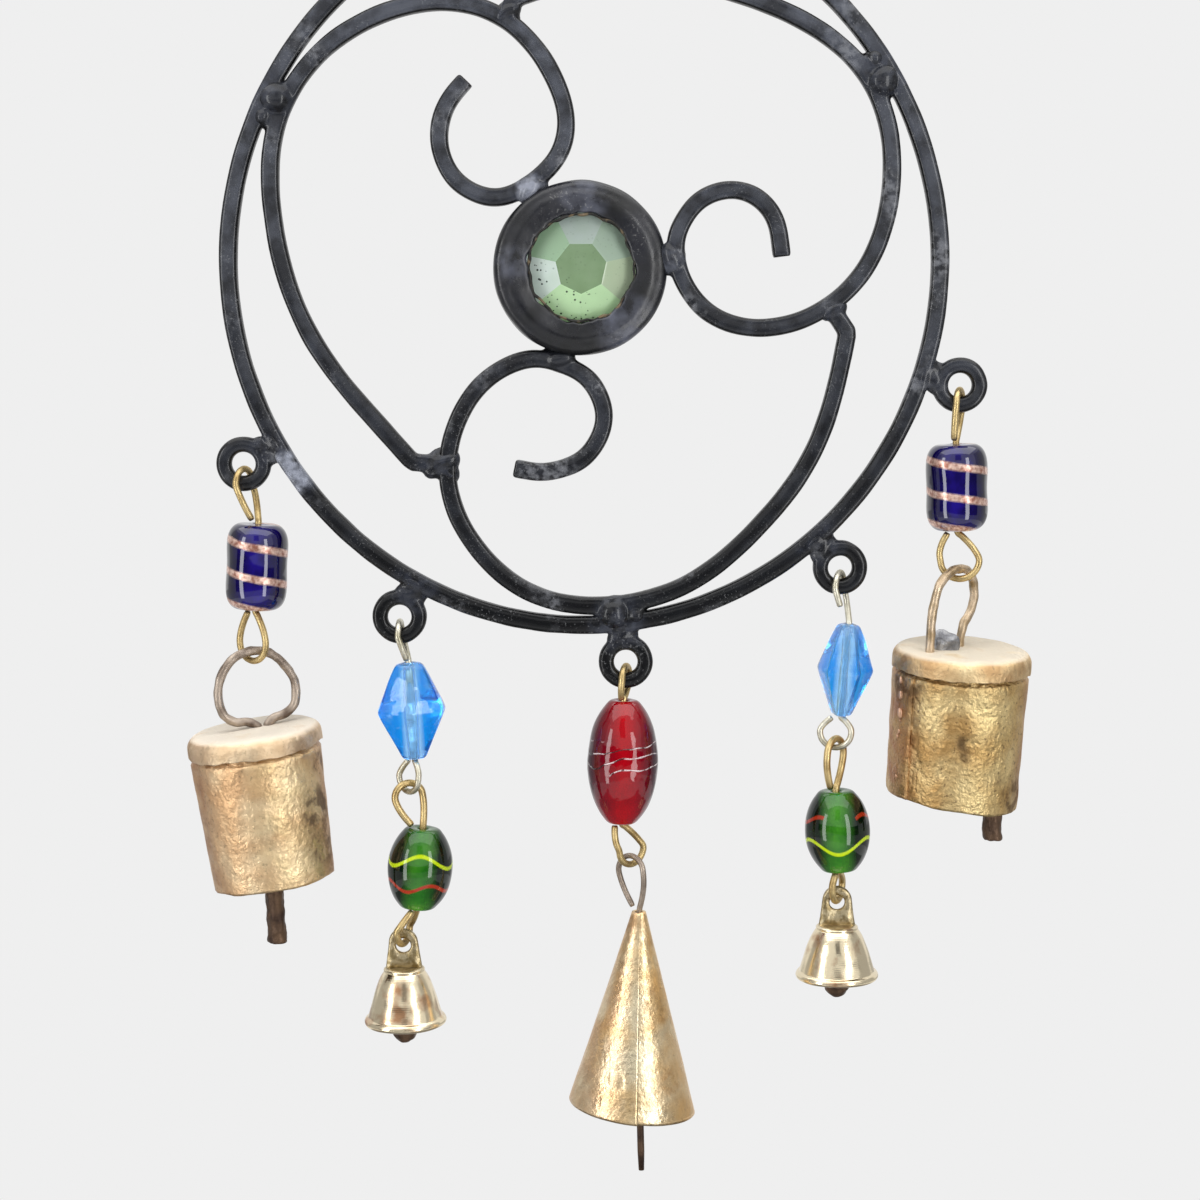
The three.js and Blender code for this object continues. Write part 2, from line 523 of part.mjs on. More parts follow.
function capSolid(bell) {
  const top = -bell.capDrop;
  const [edge, dome] = [CAP_EDGE_RADIUS, CAP_DOME];
  const { capRadius: radius, capHeight: high } = bell;
  const profile = closed([[0, top], [radius - 2.4 * edge, top - 0.1], [radius - edge, top - dome],
    [radius - 0.3 * edge, top - dome - 0.4 * edge], [radius, top - dome - edge], [radius, top - high],
    [radius - SHEET, top - high], [radius - SHEET, top - dome - edge], [radius - edge - 0.3 * SHEET, top - dome - SHEET],
    [0, top - SHEET]]);
  const cap = toSolid(turned(profile, 28).translate(bell.axisShift, 0, 0));
  const u = across(bell.loopYaw);
  const holes = bell.legs.map((leg) => {
    const radiusOfHole = bell.loopWire / 2 + HANG_GAP + 0.1;
    const hole = new THREE.CylinderGeometry(radiusOfHole, radiusOfHole, 6, 12).rotateX(Math.PI / 2);
    return toSolid(hole.translate(u.x * leg, u.y * leg, top));
  });
  return cut(cap, ...holes);
}

// The shell fits inside the cap's skirt and widens just below it
function shellSolid(bell) {
  const top = -bell.capDrop - CAP_DOME - CAP_EDGE_RADIUS - CLEAR;
  const skirt = -bell.capDrop - bell.capHeight - CLEAR;
  const mouth = -bell.capDrop - bell.height;
  const { shellTop, shellMouth } = bell;
  const inCap = bell.capRadius - SHEET - CLEAR;
  const profile = closed([[inCap, top], [inCap, skirt], [shellTop, skirt - SHEET], [shellMouth, mouth],
    [shellMouth - SHEET, mouth], [shellTop - SHEET, skirt - SHEET], [inCap - SHEET, skirt], [inCap - SHEET, top]]);
  return toSolid(slanted(turned(profile, 28), top, mouth, bell.rimSlant).translate(bell.axisShift, 0, 0));
}

// Lowers one side of a rim by a slant, less and less towards the top
function slanted(geometry, top, mouth, slant) {
  const place = geometry.attributes.position;
  for (let i = 0; i < place.count; i += 1) {
    const depth = (place.getZ(i) - top) / (mouth - top);
    place.setZ(i, place.getZ(i) - place.getX(i) * Math.tan(slant * RAD) * depth);
  }
  return geometry;
}

// Rod with a flattened, pierced top, hung on a wire that runs along X
function rodClapper({ reach, top, tip }) {
  const { hole, wall, thickness } = CLAPPER_EYE;
  const holeAt = COW_BELLS[1].loopWire / 2 + HANG_GAP + CLEAR - hole;
  const plate = new THREE.Shape();
  plate.absarc(0, holeAt, hole + wall, 0, Math.PI, false);
  plate.lineTo(-(hole + wall), holeAt - hole - 2.6);
  plate.lineTo(hole + wall, holeAt - hole - 2.6);
  plate.holes.push(new THREE.Path().absarc(0, holeAt, hole, 0, 2 * Math.PI, true));
  const eye = new THREE.ExtrudeGeometry(plate, { depth: thickness, bevelEnabled: false, curveSegments: 8 });
  eye.translate(0, 0, -thickness / 2).rotateX(Math.PI / 2).rotateZ(Math.PI / 2);
  const shoulder = holeAt - hole - 1.3;
  const rod = turned([[0, -reach], [tip / 2, -reach], [top / 2, -reach * 0.55], [top / 2, shoulder - 0.8],
    [thickness / 2 + 0.2, shoulder], [0, shoulder]], 10);
  return join(toSolid(eye), toSolid(rod));
}

function addCowBell(parent, number, hold) {
  const bell = COW_BELLS[number];
  parent.rotation.set(bell.nod * RAD, -bell.tilt * RAD, 0, 'YXZ');
  parent.name = `cow_bell_${number}_pivot`;
  const top = hold + HANG_GAP + bell.loopWire / 2;
  const points = bellLoopPoints(bell, top);
  addPiece(parent, `bell_loop_${number}`, ironWire, wireAlong(points, bell.loopWire));
  const cap = capSolid(bell);
  addPiece(parent, `bell_cap_${number}`, coatedSheet, cap);
  addPiece(parent, `bell_shell_${number}`, coatedSheet, shellSolid(bell));
  const clapper = addGroup(parent, hookCentre(bell).add(vec(0, 0, -HOOK.radius)), -bell.clapper.lean);
  clapper.quaternion.premultiply(parent.quaternion.clone().invert());
  clapper.name = `clapper_${number}_pivot`;
  const rod = addPiece(clapper, `clapper_${number}`, clapperIron, rodClapper(bell.clapper));
  rod.rotation.z = bell.hook.yaw * RAD;
  return { bell, cap, points };
}

// Solder left between the legs of a loop, on top of the cap
function addSolderLump(parent, number, { bell, cap, points }) {
  const middle = across(bell.loopYaw).multiplyScalar((bell.legs[0] + bell.legs[1]) / 2);
  middle.z = -bell.capDrop + CLEAR + SOLDER_LUMP.high * 0.3;
  const half = { x: SOLDER_LUMP.across, y: SOLDER_LUMP.deep, z: SOLDER_LUMP.high };
  const slab = new THREE.CylinderGeometry(bell.capRadius, bell.capRadius, 8, 24).rotateX(Math.PI / 2);
  const under = toSolid(slab.translate(bell.axisShift, 0, -bell.capDrop + CLEAR - 4));
  const wire = wireAlong(points, bell.loopWire, CLEAR + 0.1);
  addPiece(parent, `solder_lump_${number}`, solder, cut(ellipsoid(middle, half), under, wire));
}

// Cone bell

function addConeBell(parent, hold) {
  const wire = CONE.hangerWire;
  parent.rotation.y = -CONE.tilt * RAD;
  parent.name = 'cone_bell_3_pivot';
  const crown = hold + HANG_GAP + wire / 2;
  const stem = vec(CONE.apexShift, 0, -CONE.apexDrop + 0.6);
  const eye = eyePoints({ stem, centre: vec(0, 0, crown - CONE.hangerRadius), radius: CONE.hangerRadius,
    yaw: CONE.hangerYaw, side: 1, stemSide: CONE.stemSide, wire });
  const hook = vec(CONE.apexShift, 0, -CONE.apexDrop - CONE.hookDepth);
  const points = [...eye.reverse(), stem, vec(CONE.apexShift, 0, hook.z + 3.6)];
  for (let turn = 0; turn >= -210; turn -= 30) {
    const sideways = CONE.hookRadius * Math.cos(turn * RAD);
    points.push(hook.clone().add(vec(sideways, 0, CONE.hookRadius * Math.sin(turn * RAD))));
  }
  addPiece(parent, 'cone_hanger_3', ironWire, wireAlong(points, wire));
  addPiece(parent, 'cone_bell_3', coatedSheet, coneSolid());
  const place = hook.clone().add(vec(0, 0, -CONE.hookRadius));
  const clapper = addGroup(parent, place, CONE.tilt - CONE.clapperLean);
  clapper.name = 'clapper_3_pivot';
  addPiece(clapper, 'clapper_3', clapperIron, wireClapper(wire / 2));
}

// Rolled cone, open at the apex, its rim cut at a slant
function coneSolid() {
  const { apexRadius, mouthRadius, height, sheet, apexShift, apexDrop } = CONE;
  const profile = closed([[apexRadius, 0], [mouthRadius, -height], [mouthRadius - sheet, -height],
    [apexRadius - sheet, 0]]);
  return toSolid(slanted(turned(profile, 30), 0, -height, CONE.rimSlant).translate(apexShift, 0, -apexDrop));
}

// A straight wire with an eye at its top, hung on a wire that runs along X
function wireClapper(hold) {
  const { clapperWire: wire, clapperEye: radius, clapperReach: reach } = CONE;
  const centre = vec(0, 0, hold + HANG_GAP + 0.2 + wire / 2 - radius);
  const points = [];
  for (let turn = -40; turn <= 240; turn += 28) {
    points.push(centre.clone().add(vec(0, -radius * Math.cos(turn * RAD), radius * Math.sin(turn * RAD))));
  }
  points.push(vec(0, radius * 0.15, centre.z - radius * 1.5), vec(0, 0, centre.z - radius * 2.2), vec(0, 0, -reach));
  return wireAlong(points, wire);
}

// Small cast bells

// Outer outline of the cast bell, [radius, depth share]
const CAST_OUTLINE = [[0, 0], [0.12, 0.06], [0.27, 0.22], [0.45, 0.45], [0.66, 0.68], [0.84, 0.86], [0.94, 0.95]];

function smallBellSolid(bell) {
  const { wall, lip, tabThickness, tabHole, ringRadius, ringSection } = CAST;
  const crown = -bell.crownDrop;
  const width = bell.mouthRadius - bell.crownRadius;
  const at = (share, depth) => [bell.crownRadius + share * width, crown - depth * bell.height];
  const outer = CAST_OUTLINE.map(([share, depth]) => at(share, depth));
  const rim = [[bell.mouthRadius, crown - bell.height + lip], [bell.mouthRadius, crown - bell.height + 0.2],
    [bell.mouthRadius - 0.4, crown - bell.height]];
  const inner = CAST_OUTLINE.slice(1).reverse().map(([share, depth]) => {
    const [radius, z] = at(share, depth);
    return [radius - wall, z - (depth < 0.1 ? wall * 0.6 : 0)];
  });
  const body = toSolid(turned(closed([[0, crown], ...outer, ...rim, [bell.mouthRadius - wall - 0.5, crown - bell.height],
    ...inner, [0, crown - wall]]), 28));
  const holeAt = bell.wire / 2 + HANG_GAP + 0.2 - tabHole;
  const tab = new THREE.Shape();
  const topRadius = CAST.tabTopHalfWidth;
  tab.moveTo(-CAST.tabHalfWidth, crown - 0.5);
  tab.lineTo(CAST.tabHalfWidth, crown - 0.5);
  tab.absarc(0, bell.tabTop - topRadius, topRadius, 0.1, Math.PI - 0.1, false);
  tab.holes.push(new THREE.Path().absarc(0, holeAt, tabHole, 0, 2 * Math.PI, true));
  const plate = new THREE.ExtrudeGeometry(tab, { depth: tabThickness, bevelEnabled: false, curveSegments: 8 });
  plate.translate(0, 0, -tabThickness / 2).rotateX(Math.PI / 2);
  const ring = new THREE.TorusGeometry(ringRadius, ringSection, 6, 14).rotateX(Math.PI / 2);
  ring.translate(0, 0, ringCentreZ(bell));
  return join(body, toSolid(plate), toSolid(ring));
}

const ringCentreZ = (bell) => -bell.crownDrop - CAST.wall - CAST.ringRadius * 0.55;

function pearSolid(bell) {
  const pivotZ = ringCentreZ(bell) - CAST.ringRadius;
  const mouth = -bell.crownDrop - bell.height - pivotZ;
  const eyeCentre = CAST.ringSection + HANG_GAP + PEAR.eyeSection - PEAR.eyeRadius;
  const eye = new THREE.TorusGeometry(PEAR.eyeRadius, PEAR.eyeSection, 6, 14).rotateX(Math.PI / 2).rotateZ(Math.PI / 2);
  const eyeFoot = eyeCentre - PEAR.eyeRadius;
  const ball = mouth - PEAR.belowRim + PEAR.radius;
  const outline = [[0, eyeFoot], [PEAR.neck, eyeFoot - 0.3]];
  for (let turn = 60; turn >= -60; turn -= 30) {
    outline.push([PEAR.radius * Math.cos(turn * RAD), ball + PEAR.radius * Math.sin(turn * RAD)]);
  }
  return join(toSolid(eye.translate(0, 0, eyeCentre)), toSolid(turned([...outline, [0, mouth - PEAR.belowRim]], 12)));
}

function addSmallBell(parent, number) {
  const bell = SMALL_BELLS[number];
  parent.rotation.y = -bell.tilt * RAD;
  parent.name = `small_bell_${number}_pivot`;
  addPiece(parent, `small_bell_${number}`, castBrass, smallBellSolid(bell));
  const clapper = addGroup(parent, vec(0, 0, ringCentreZ(bell) - CAST.ringRadius), bell.tilt);
  clapper.name = `bell_clapper_${number}_pivot`;
  addPiece(clapper, `bell_clapper_${number}`, clapperIron, pearSolid(bell));
}

// Strands

const strandPivot = (ring, number) =>
  addGroup(ring, eyeletCentre(EYELET_ANGLES[number - 1]).add(vec(0, 0, -EYELET_MIDDLE_RADIUS)));

function addCowBellStrand(ring, number) {
  const name = `link_wire_${number}`;
  const foot = addLink(strandPivot(ring, number), name, `cobalt_bead_${number}`, brassWire, EYELET_CORNER);
  return [foot, addCowBell(foot, number, LINKS[name].wire / 2)];
}

function addSmallBellStrand(ring, number) {
  const upper = `upper_link_${number}`;
  const middle = addLink(strandPivot(ring, number), upper, `azure_bead_${number}`, paleWire, EYELET_CORNER);
  const foot = addLink(middle, `lower_link_${number}`, `green_bead_${number}`, brassWire, LINKS[upper].wire / 2);
  addSmallBell(foot, number);
}

const windChime = new THREE.Group();
const ring = addGroup(windChime, vec(0, 0, -RING_HALF_HEIGHT - eyeletReach));
addFrame(ring);
addCowBellStrand(ring, 1);
addSmallBellStrand(ring, 2);
const middleFoot = addLink(strandPivot(ring, 3), 'link_wire_3', 'red_bead_3', brassWire, EYELET_CORNER);
addConeBell(middleFoot, LINKS.link_wire_3.wire / 2);
addSmallBellStrand(ring, 4);
const [lastFoot, lastBell] = addCowBellStrand(ring, 5);
addSolderLump(lastFoot, 5, lastBell);

export default windChime;
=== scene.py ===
"""Iron wind chime: a ring of square bar with scrolls and a glass centre, and five strands of beads and bells.

Lengths are in millimetres until a mesh is made. The origin is the hanging eye, Z is up and the front faces -Y.
"""
import json
import math

import bpy
import numpy as np
from bpy.props import FloatProperty, FloatVectorProperty, PointerProperty
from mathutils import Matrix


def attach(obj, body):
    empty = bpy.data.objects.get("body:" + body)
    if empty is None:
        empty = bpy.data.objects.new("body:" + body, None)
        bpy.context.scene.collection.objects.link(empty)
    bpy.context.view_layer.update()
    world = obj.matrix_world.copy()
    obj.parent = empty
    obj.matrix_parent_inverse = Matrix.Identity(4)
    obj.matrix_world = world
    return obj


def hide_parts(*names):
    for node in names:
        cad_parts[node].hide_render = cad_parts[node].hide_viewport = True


bl_info = {
    "name": "Iron Wind Chime",
    "version": (1, 0, 0),
    "blender": (4, 5, 0),
    "location": "View3D > Sidebar > Wind Chime",
    "description": "Builds a forged wind chime with glass beads and bells round its packed frame",
    "category": "Object",
}

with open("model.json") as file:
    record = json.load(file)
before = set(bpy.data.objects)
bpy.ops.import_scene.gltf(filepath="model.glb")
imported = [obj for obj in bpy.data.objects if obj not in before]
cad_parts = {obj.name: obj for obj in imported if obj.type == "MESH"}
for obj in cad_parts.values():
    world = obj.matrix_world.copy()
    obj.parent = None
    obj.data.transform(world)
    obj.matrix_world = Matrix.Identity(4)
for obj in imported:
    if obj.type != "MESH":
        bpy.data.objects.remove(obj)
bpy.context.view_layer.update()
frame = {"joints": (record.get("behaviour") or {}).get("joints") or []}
JOINTS = {joint["name"]: joint for joint in frame["joints"]}

MM = 0.001
MM_PER_METRE = 1000.0
CLEAR = 0.3
HANG_GAP = 0.5
# How far below its cap's top a cow bell's rolled sheet starts
TUCK = 2.4
# Steps along an evened line
EVEN_STEP = 0.7
# Power of the superellipse that gives the bars their worn corners
BAR_CORNERS = 4.5
SIDEWAYS = (0, 1, 0)

# Heights of the ring's and the bezel's centres below the hanging eye
RING_Z = -88.2
RING_CENTRE = np.array([0, 0, RING_Z])
BEZEL = np.array([-0.9, 0.0, RING_Z - 0.6])

# Scrolls: [angle round the bezel, share of the way from bezel to ring], tip first
SCROLLS = {
    "scroll_left": {
        "points": [[121.4, 0.49], [129.2, 0.46], [137.9, 0.38], [144.8, 0.23], [140.9, 0.055], [120, 0],
                   [100.1, 0.073], [95.1, 0.206], [99, 0.403], [106, 0.626], [112.8, 0.741], [118.6, 0.817],
                   [129.2, 0.913], [140.1, 0.98], [149, 1], [156, 0.99], [166, 0.934], [182.3, 0.838],
                   [198.1, 0.752], [213.2, 0.681], [228.9, 0.674]],
        "bezel_weld": 122, "bezel_grey": 1.5, "ring_weld": 151.5, "ends_on": "scroll_lower", "end_weld": 4.4,
    },
    "scroll_right": {
        "points": [[3.2, 0.431], [13.7, 0.424], [21.3, 0.38], [27, 0.297], [29.3, 0.161], [18.5, 0.02], [7, 0],
                   [-3.9, 0.015], [-17.3, 0.121], [-20.2, 0.249], [-18.2, 0.382], [-14, 0.516], [-8.6, 0.631],
                   [-2.4, 0.746], [5.8, 0.837], [14.8, 0.916], [23.4, 0.969], [32, 1], [37, 0.985],
                   [43.9, 0.955], [54, 0.891], [67.9, 0.82], [81.9, 0.764], [94.8, 0.732], [103.5, 0.706]],
        "bezel_weld": 6, "bezel_grey": 0.9, "ring_weld": 32, "ends_on": "scroll_left", "end_weld": 3.2,
    },
    "scroll_lower": {
        "points": [[-108.4, 0.471], [-99.6, 0.453], [-88.5, 0.377], [-80.9, 0.225], [-85, 0.063], [-102, 0],
                   [-119.6, 0.027], [-129.4, 0.163], [-130.6, 0.318], [-127.1, 0.492], [-120.7, 0.682],
                   [-111.6, 0.824], [-102.7, 0.935], [-93.5, 0.99], [-84, 1], [-72, 0.985], [-58.7, 0.915],
                   [-46.3, 0.859], [-39, 0.834], [-28.8, 0.783], [-20.1, 0.75], [-13.4, 0.735]],
        "bezel_weld": -103, "bezel_grey": 0.2, "ring_weld": -84, "ends_on": "scroll_right", "end_weld": 3.2,
    },
}
EYELETS = {"eyelet_1": -150, "eyelet_2": -118, "eyelet_3": -84, "eyelet_4": -49.5, "eyelet_5": -17.5,
           "hanging_eye": 90}
EYELET = {"middle": 4.35, "section": 1.85, "stand_off": 0.5, "spare": 0.24}

# Bent wires. Each eye has a radius, a plane turned by yaw, and at the top the stem's place beside its middle.
# hold is the half thickness of what the wire hangs on, where that isn't an eyelet.
EYELET_CORNER = EYELET["section"] / math.cos(math.pi / 8)
LINKS = {
    "link_wire_1": dict(swing="strand_1", bead="cobalt_bead_1", below="cow_bell_1", wire=1.5,
                        top=(3.4, 66, 1.2), foot=(3.9, -35)),
    "link_wire_5": dict(swing="strand_5", bead="cobalt_bead_5", below="cow_bell_5", wire=1.5,
                        top=(3.3, 70, 1.2), foot=(4.3, -10)),
    "link_wire_3": dict(swing="strand_3", bead="red_bead_3", below="cone_bell_3", wire=1.5,
                        top=(3.25, 74, 1.0), foot=(3.6, 40)),
    "upper_link_2": dict(swing="strand_2", bead="azure_bead_2", below="lower_link_2", wire=1.4,
                         top=(3.15, 87, 0.8), foot=(3.3, -45)),
    "upper_link_4": dict(swing="strand_4", bead="azure_bead_4", below="lower_link_4", wire=1.4,
                         top=(3.3, 68, 1.2), foot=(3.55, -15), stop=0.5),
    "lower_link_2": dict(swing="lower_link_2", bead="green_bead_2", below="small_bell_2", hold=0.7, wire=1.6,
                         top=(3.25, 20, 2.2), foot=(3.3, 68)),
    "lower_link_4": dict(swing="lower_link_4", bead="green_bead_4", below="small_bell_4", hold=0.7, wire=1.6,
                         top=(3.7, 55, 1.4), foot=(3.4, 65)),
}
BEADS = {
    "cobalt": dict(half=6.7, depth=6.7, length=19.3, end=4.6),
    "azure": dict(half=8.0, depth=6.0, length=22.0, end=2.7),
    "short_azure": dict(half=8.0, depth=6.0, length=21.0, end=2.7),
    "green": dict(half=7.35, depth=7.35, length=18.2, end=3.6),
    "red": dict(half=7.95, depth=7.95, length=27.8, end=3.0),
}

COW_BELLS = {
    1: dict(tilt=7, nod=2, shift=-2.25, drop=15.0, cap=15.1, cap_high=4.8, mouth=13.9, height=35.0,
            slant=-1.5, wire=2.0, half=8.9, yaw=20, legs=(-1.35, 1.35), hook_x=0.0, hook_yaw=20, seam=338,
            finish="brazed_sheet", cap_finish="brazed_cap", loop_finish="iron_wire", drops=0,
            burns=[(12.4, -7.5, -34, 5.0), (12.8, -6.5, -42, 4.6), (13.2, -5, -24, 2.6)],
            loop=[[-0.36, 0], [-0.66, 0.03], [-0.93, 0.16], [-1, 0.45], [-0.8, 0.77], [-0.42, 0.95], [0, 1],
                  [0.42, 0.93], [0.78, 0.72], [0.98, 0.42], [0.9, 0.15], [0.64, 0.03], [0.36, 0]],
            reach=42.5, lean=2, rod_top=4.2, rod_tip=5.8),
    5: dict(tilt=-2.5, nod=4.5, shift=1.9, drop=15.5, cap=15.5, cap_high=4.8, mouth=14.9, height=34.6,
            slant=5.5, wire=2.0, half=9.3, yaw=45, legs=(-8.9, 1.9), hook_x=9.6, hook_yaw=180, seam=204,
            finish="grainy_sheet", cap_finish="grainy_cap", loop_finish="coppered_wire",
            burns=[(-12.5, -8.5, -22, 4.6), (1.6, -15, -34, 1.7), (2, -15, -37, 1.2), (13.4, -7, -47, 4.4)], drops=8,
            loop=[[-0.98, 0.2], [-0.97, 0.43], [-0.78, 0.8], [-0.38, 0.97], [0, 1], [0.34, 0.95], [0.6, 0.76],
                  [0.64, 0.55], [0.52, 0.36], [0.3, 0.2]],
            reach=36.3, lean=0.5, rod_top=4.6, rod_tip=5.6),
}
SHEET = 0.9
HOOK = dict(radius=2.7, drop=7.4)
CLAPPER_EYE = dict(hole=2.0, wall=1.0, thick=1.6)

CONE = dict(tilt=-1.9, wire=1.3, radius=3.6, yaw=-40, side=1.3, apex_drop=10.9, shift=2.25, apex=1.85, mouth=14.7,
            height=45.2, sheet=0.75, slant=4.6, hook_depth=15.5, hook=1.75, rod=1.6, eye=1.95, reach=43.5, lean=1.5)
# The ring stamped into the cone's front: its middle, its radius, how wide its line is and how deep
DENT = dict(x=-4.6, z=-36.5, radius=1.9, width=0.45, depth=0.3)

SMALL_BELLS = {
    2: dict(wire=1.6, tab_top=3.5, drop=5.7, height=12.8, mouth=9.3, crown=4.6, tilt=1.0),
    4: dict(wire=1.6, tab_top=3.3, drop=5.9, height=11.9, mouth=9.4, crown=4.7, tilt=0.5),
}
CAST = dict(wall=1.1, tab_half=4.2, tab_top_half=3.3, tab_thick=1.4, hole=1.85, bore=1.68, ring=1.7, ring_wire=0.55)
PEAR = dict(eye=1.7, eye_wire=0.5, radius=3.0, below=4.6)


# Surfaces

def unit(vectors):
    """Each vector divided by its own length."""
    return vectors / np.linalg.norm(vectors, axis=-1, keepdims=True)


def spline(points, per_span):
    """Centripetal Catmull-Rom curve: a cubic through each pair of points, with tangents that are weighted by the
    square root of the distances to their neighbours."""
    p = np.asarray(points, float)
    p = np.vstack([2 * p[0] - p[1], p, 2 * p[-1] - p[-2]])
    d = np.sqrt(np.linalg.norm(np.diff(p, axis=0), axis=1))[:, None]
    d0, d1, d2 = d[:-2], d[1:-1], d[2:]
    a, b, c, e = p[:-3], p[1:-2], p[2:-1], p[3:]
    start = ((b - a) / d0 - (c - a) / (d0 + d1) + (c - b) / d1) * d1
    end = ((c - b) / d1 - (e - b) / (d1 + d2) + (e - c) / d2) * d1
    t = np.linspace(0, 1, per_span, endpoint=False)[None, :, None]
    b, c, start, end = (x[:, None, :] for x in (b, c, start, end))
    curve = (2 * t ** 3 - 3 * t ** 2 + 1) * b + (t ** 3 - 2 * t ** 2 + t) * start
    curve = curve + (3 * t ** 2 - 2 * t ** 3) * c + (t ** 3 - t ** 2) * end
    return np.vstack([curve.reshape(-1, 3), p[-2]])


def evened(line, reach):
    """The line at even steps, each point replaced by a bell-weighted mean of its neighbours. The mean is taken
    twice and the second one subtracted from double the first, which keeps the bends as tight as they were."""
    along = np.concatenate([[0], np.cumsum(np.linalg.norm(np.diff(line, axis=0), axis=1))])
    steps = np.linspace(0, along[-1], int(along[-1] / EVEN_STEP))
    even = np.stack([np.interp(steps, along, part) for part in line.T], -1)
    width = int(2 * reach / EVEN_STEP)
    weights = np.exp(-np.linspace(-2, 2, 2 * width + 1) ** 2 / 2)

    def mean(points):
        padded = np.vstack([2 * points[0] - points[width:0:-1], points,
                            2 * points[-1] - points[-2:-width - 2:-1]])
        return np.stack([np.convolve(part, weights / weights.sum(), "valid") for part in padded.T], -1)

    once = mean(even)
    return 2 * once - mean(once)


def waves(points, size, seed):
    """Smooth unevenness about 1 high: the mean of eight sine waves of that length in seeded directions."""
    rng = np.random.default_rng(seed)
    directions = unit(rng.normal(size=(8, 3))) * rng.uniform(0.6, 1.5, (8, 1)) * 2 * np.pi / size
    return np.sin(points @ directions.T + rng.uniform(0, 2 * np.pi, 8)).sum(axis=-1) / 2


def full_turn(count):
    """Even steps round a circle, in radians."""
    return np.linspace(0, 2 * np.pi, count, endpoint=False)


def circle(radius, count):
    """Points of a circle."""
    return radius * np.stack([np.cos(full_turn(count)), np.sin(full_turn(count))], axis=-1)


def soft_square(side, power, count):
    """Superellipse: cosine and sine each raised to 2 / power, which rounds a square's corners."""
    corners = full_turn(count) + np.pi / 4
    c, s = np.cos(corners), np.sin(corners)
    return side / 2 * np.stack([np.sign(c) * np.abs(c) ** (2 / power), np.sign(s) * np.abs(s) ** (2 / power)], -1)


def carried(path, beside, section, looped=False, grow=1.0):
    """Profile carried along a path: each path point plus the section's two sizes times the unit vector that is
    square to the path on the given side, and the one square to both."""
    path = np.asarray(path, float)
    if looped:
        along = np.roll(path, -1, axis=0) - np.roll(path, 1, axis=0)
    else:
        along = np.gradient(path, axis=0)
    along = unit(along)
    beside = np.broadcast_to(np.asarray(beside, float), path.shape)
    first = unit(beside - (beside * along).sum(-1, keepdims=True) * along)
    second = np.cross(along, first)
    grow = np.broadcast_to(np.asarray(grow, float), (len(path),))[:, None, None]
    section = np.broadcast_to(section, (len(path),) + np.shape(section)[-2:])
    return path[:, None] + grow * (first[:, None] * section[..., :1] + second[:, None] * section[..., 1:])


def skin(grid, looped=False, open_sides=False):
    """Closed surface over a grid of points that wraps across its columns. Its rows wrap too where looped, and
    otherwise each end closes on a point in the middle of its row. With open_sides the rows wrap and the columns
    don't: the first half of the rows is one face of a sheet, the second half the other, and its two edges close."""
    rows, cols = grid.shape[:2]
    index = np.arange(rows * cols).reshape(rows, cols)
    points = grid.reshape(-1, 3)
    if open_sides:
        index = np.vstack([index, index[:1]])
    else:
        index = np.hstack([index, index[:, :1]])
        if looped:
            index = np.vstack([index, index[:1]])
    faces = [np.stack([index[:-1, :-1], index[1:, :-1], index[1:, 1:], index[:-1, 1:]], -1).reshape(-1, 4)]
    tris = np.zeros((0, 3), int)
    if open_sides:
        half = rows // 2
        left, right = index[:rows, 0], index[:rows, -1]
        for edge, turn in ((left, 1), (right, -1)):
            face, back = edge[:half], edge[half:][::-1]
            faces.append(np.stack([face[:-1], back[:-1], back[1:], face[1:]], -1)[:, ::turn])
    elif not looped:
        points = np.vstack([points, grid[0].mean(0), grid[-1].mean(0)])
        first = np.stack([index[0, 1:], np.full(cols, rows * cols), index[0, :-1]], -1)
        last = np.stack([index[-1, :-1], np.full(cols, rows * cols + 1), index[-1, 1:]], -1)
        tris = np.vstack([first, last])
    return outward(points, np.vstack(faces), tris)


def outward(points, quads, tris):
    """Turns the faces round where the volume under them comes out negative."""
    fan = np.vstack([quads[:, [0, 1, 2]], quads[:, [0, 2, 3]], tris])
    a, b, c = (points[fan[:, i]] for i in range(3))
    if (a * np.cross(b, c)).sum() < 0:
        quads, tris = quads[:, ::-1], tris[:, ::-1]
    return points, quads, tris


def merged(shells):
    """Several closed surfaces as one set of points and faces."""
    starts = np.cumsum([0] + [len(points) for points, _, _ in shells[:-1]])
    return (np.vstack([points for points, _, _ in shells]),
            np.vstack([quads + start for (_, quads, _), start in zip(shells, starts)]),
            np.vstack([tris + start for (_, _, tris), start in zip(shells, starts)]))


def turned(profile, cols, squash=1.0):
    """Profile of [radius, height] points turned round Z, with its depth squashed."""
    profile = np.asarray(profile, float)
    turn = full_turn(cols)
    radius = profile[:, :1]
    return np.stack([radius * np.cos(turn), radius * np.sin(turn) * squash,
                     np.broadcast_to(profile[:, 1:], (len(profile), cols))], -1)


def profile_curve(points, per_span):
    """Spline through a profile's [radius, height] points."""
    return spline([[r, 0, z] for r, z in points], per_span)[:, [0, 2]]


def closed_bar(path, beside, section):
    """A section carried round a closed path."""
    return skin(carried(path, beside, section, looped=True), looped=True)


def round_eye(centre, radius, beside, section, turn):
    """A section carried round a circle that is square to X or to Y, whichever beside is."""
    level = np.array([beside[1], beside[0], 0])
    circle_points = np.cos(turn)[:, None] * level + np.sin(turn)[:, None] * np.array([0, 0, 1])
    return closed_bar(centre + radius * circle_points, beside, section)


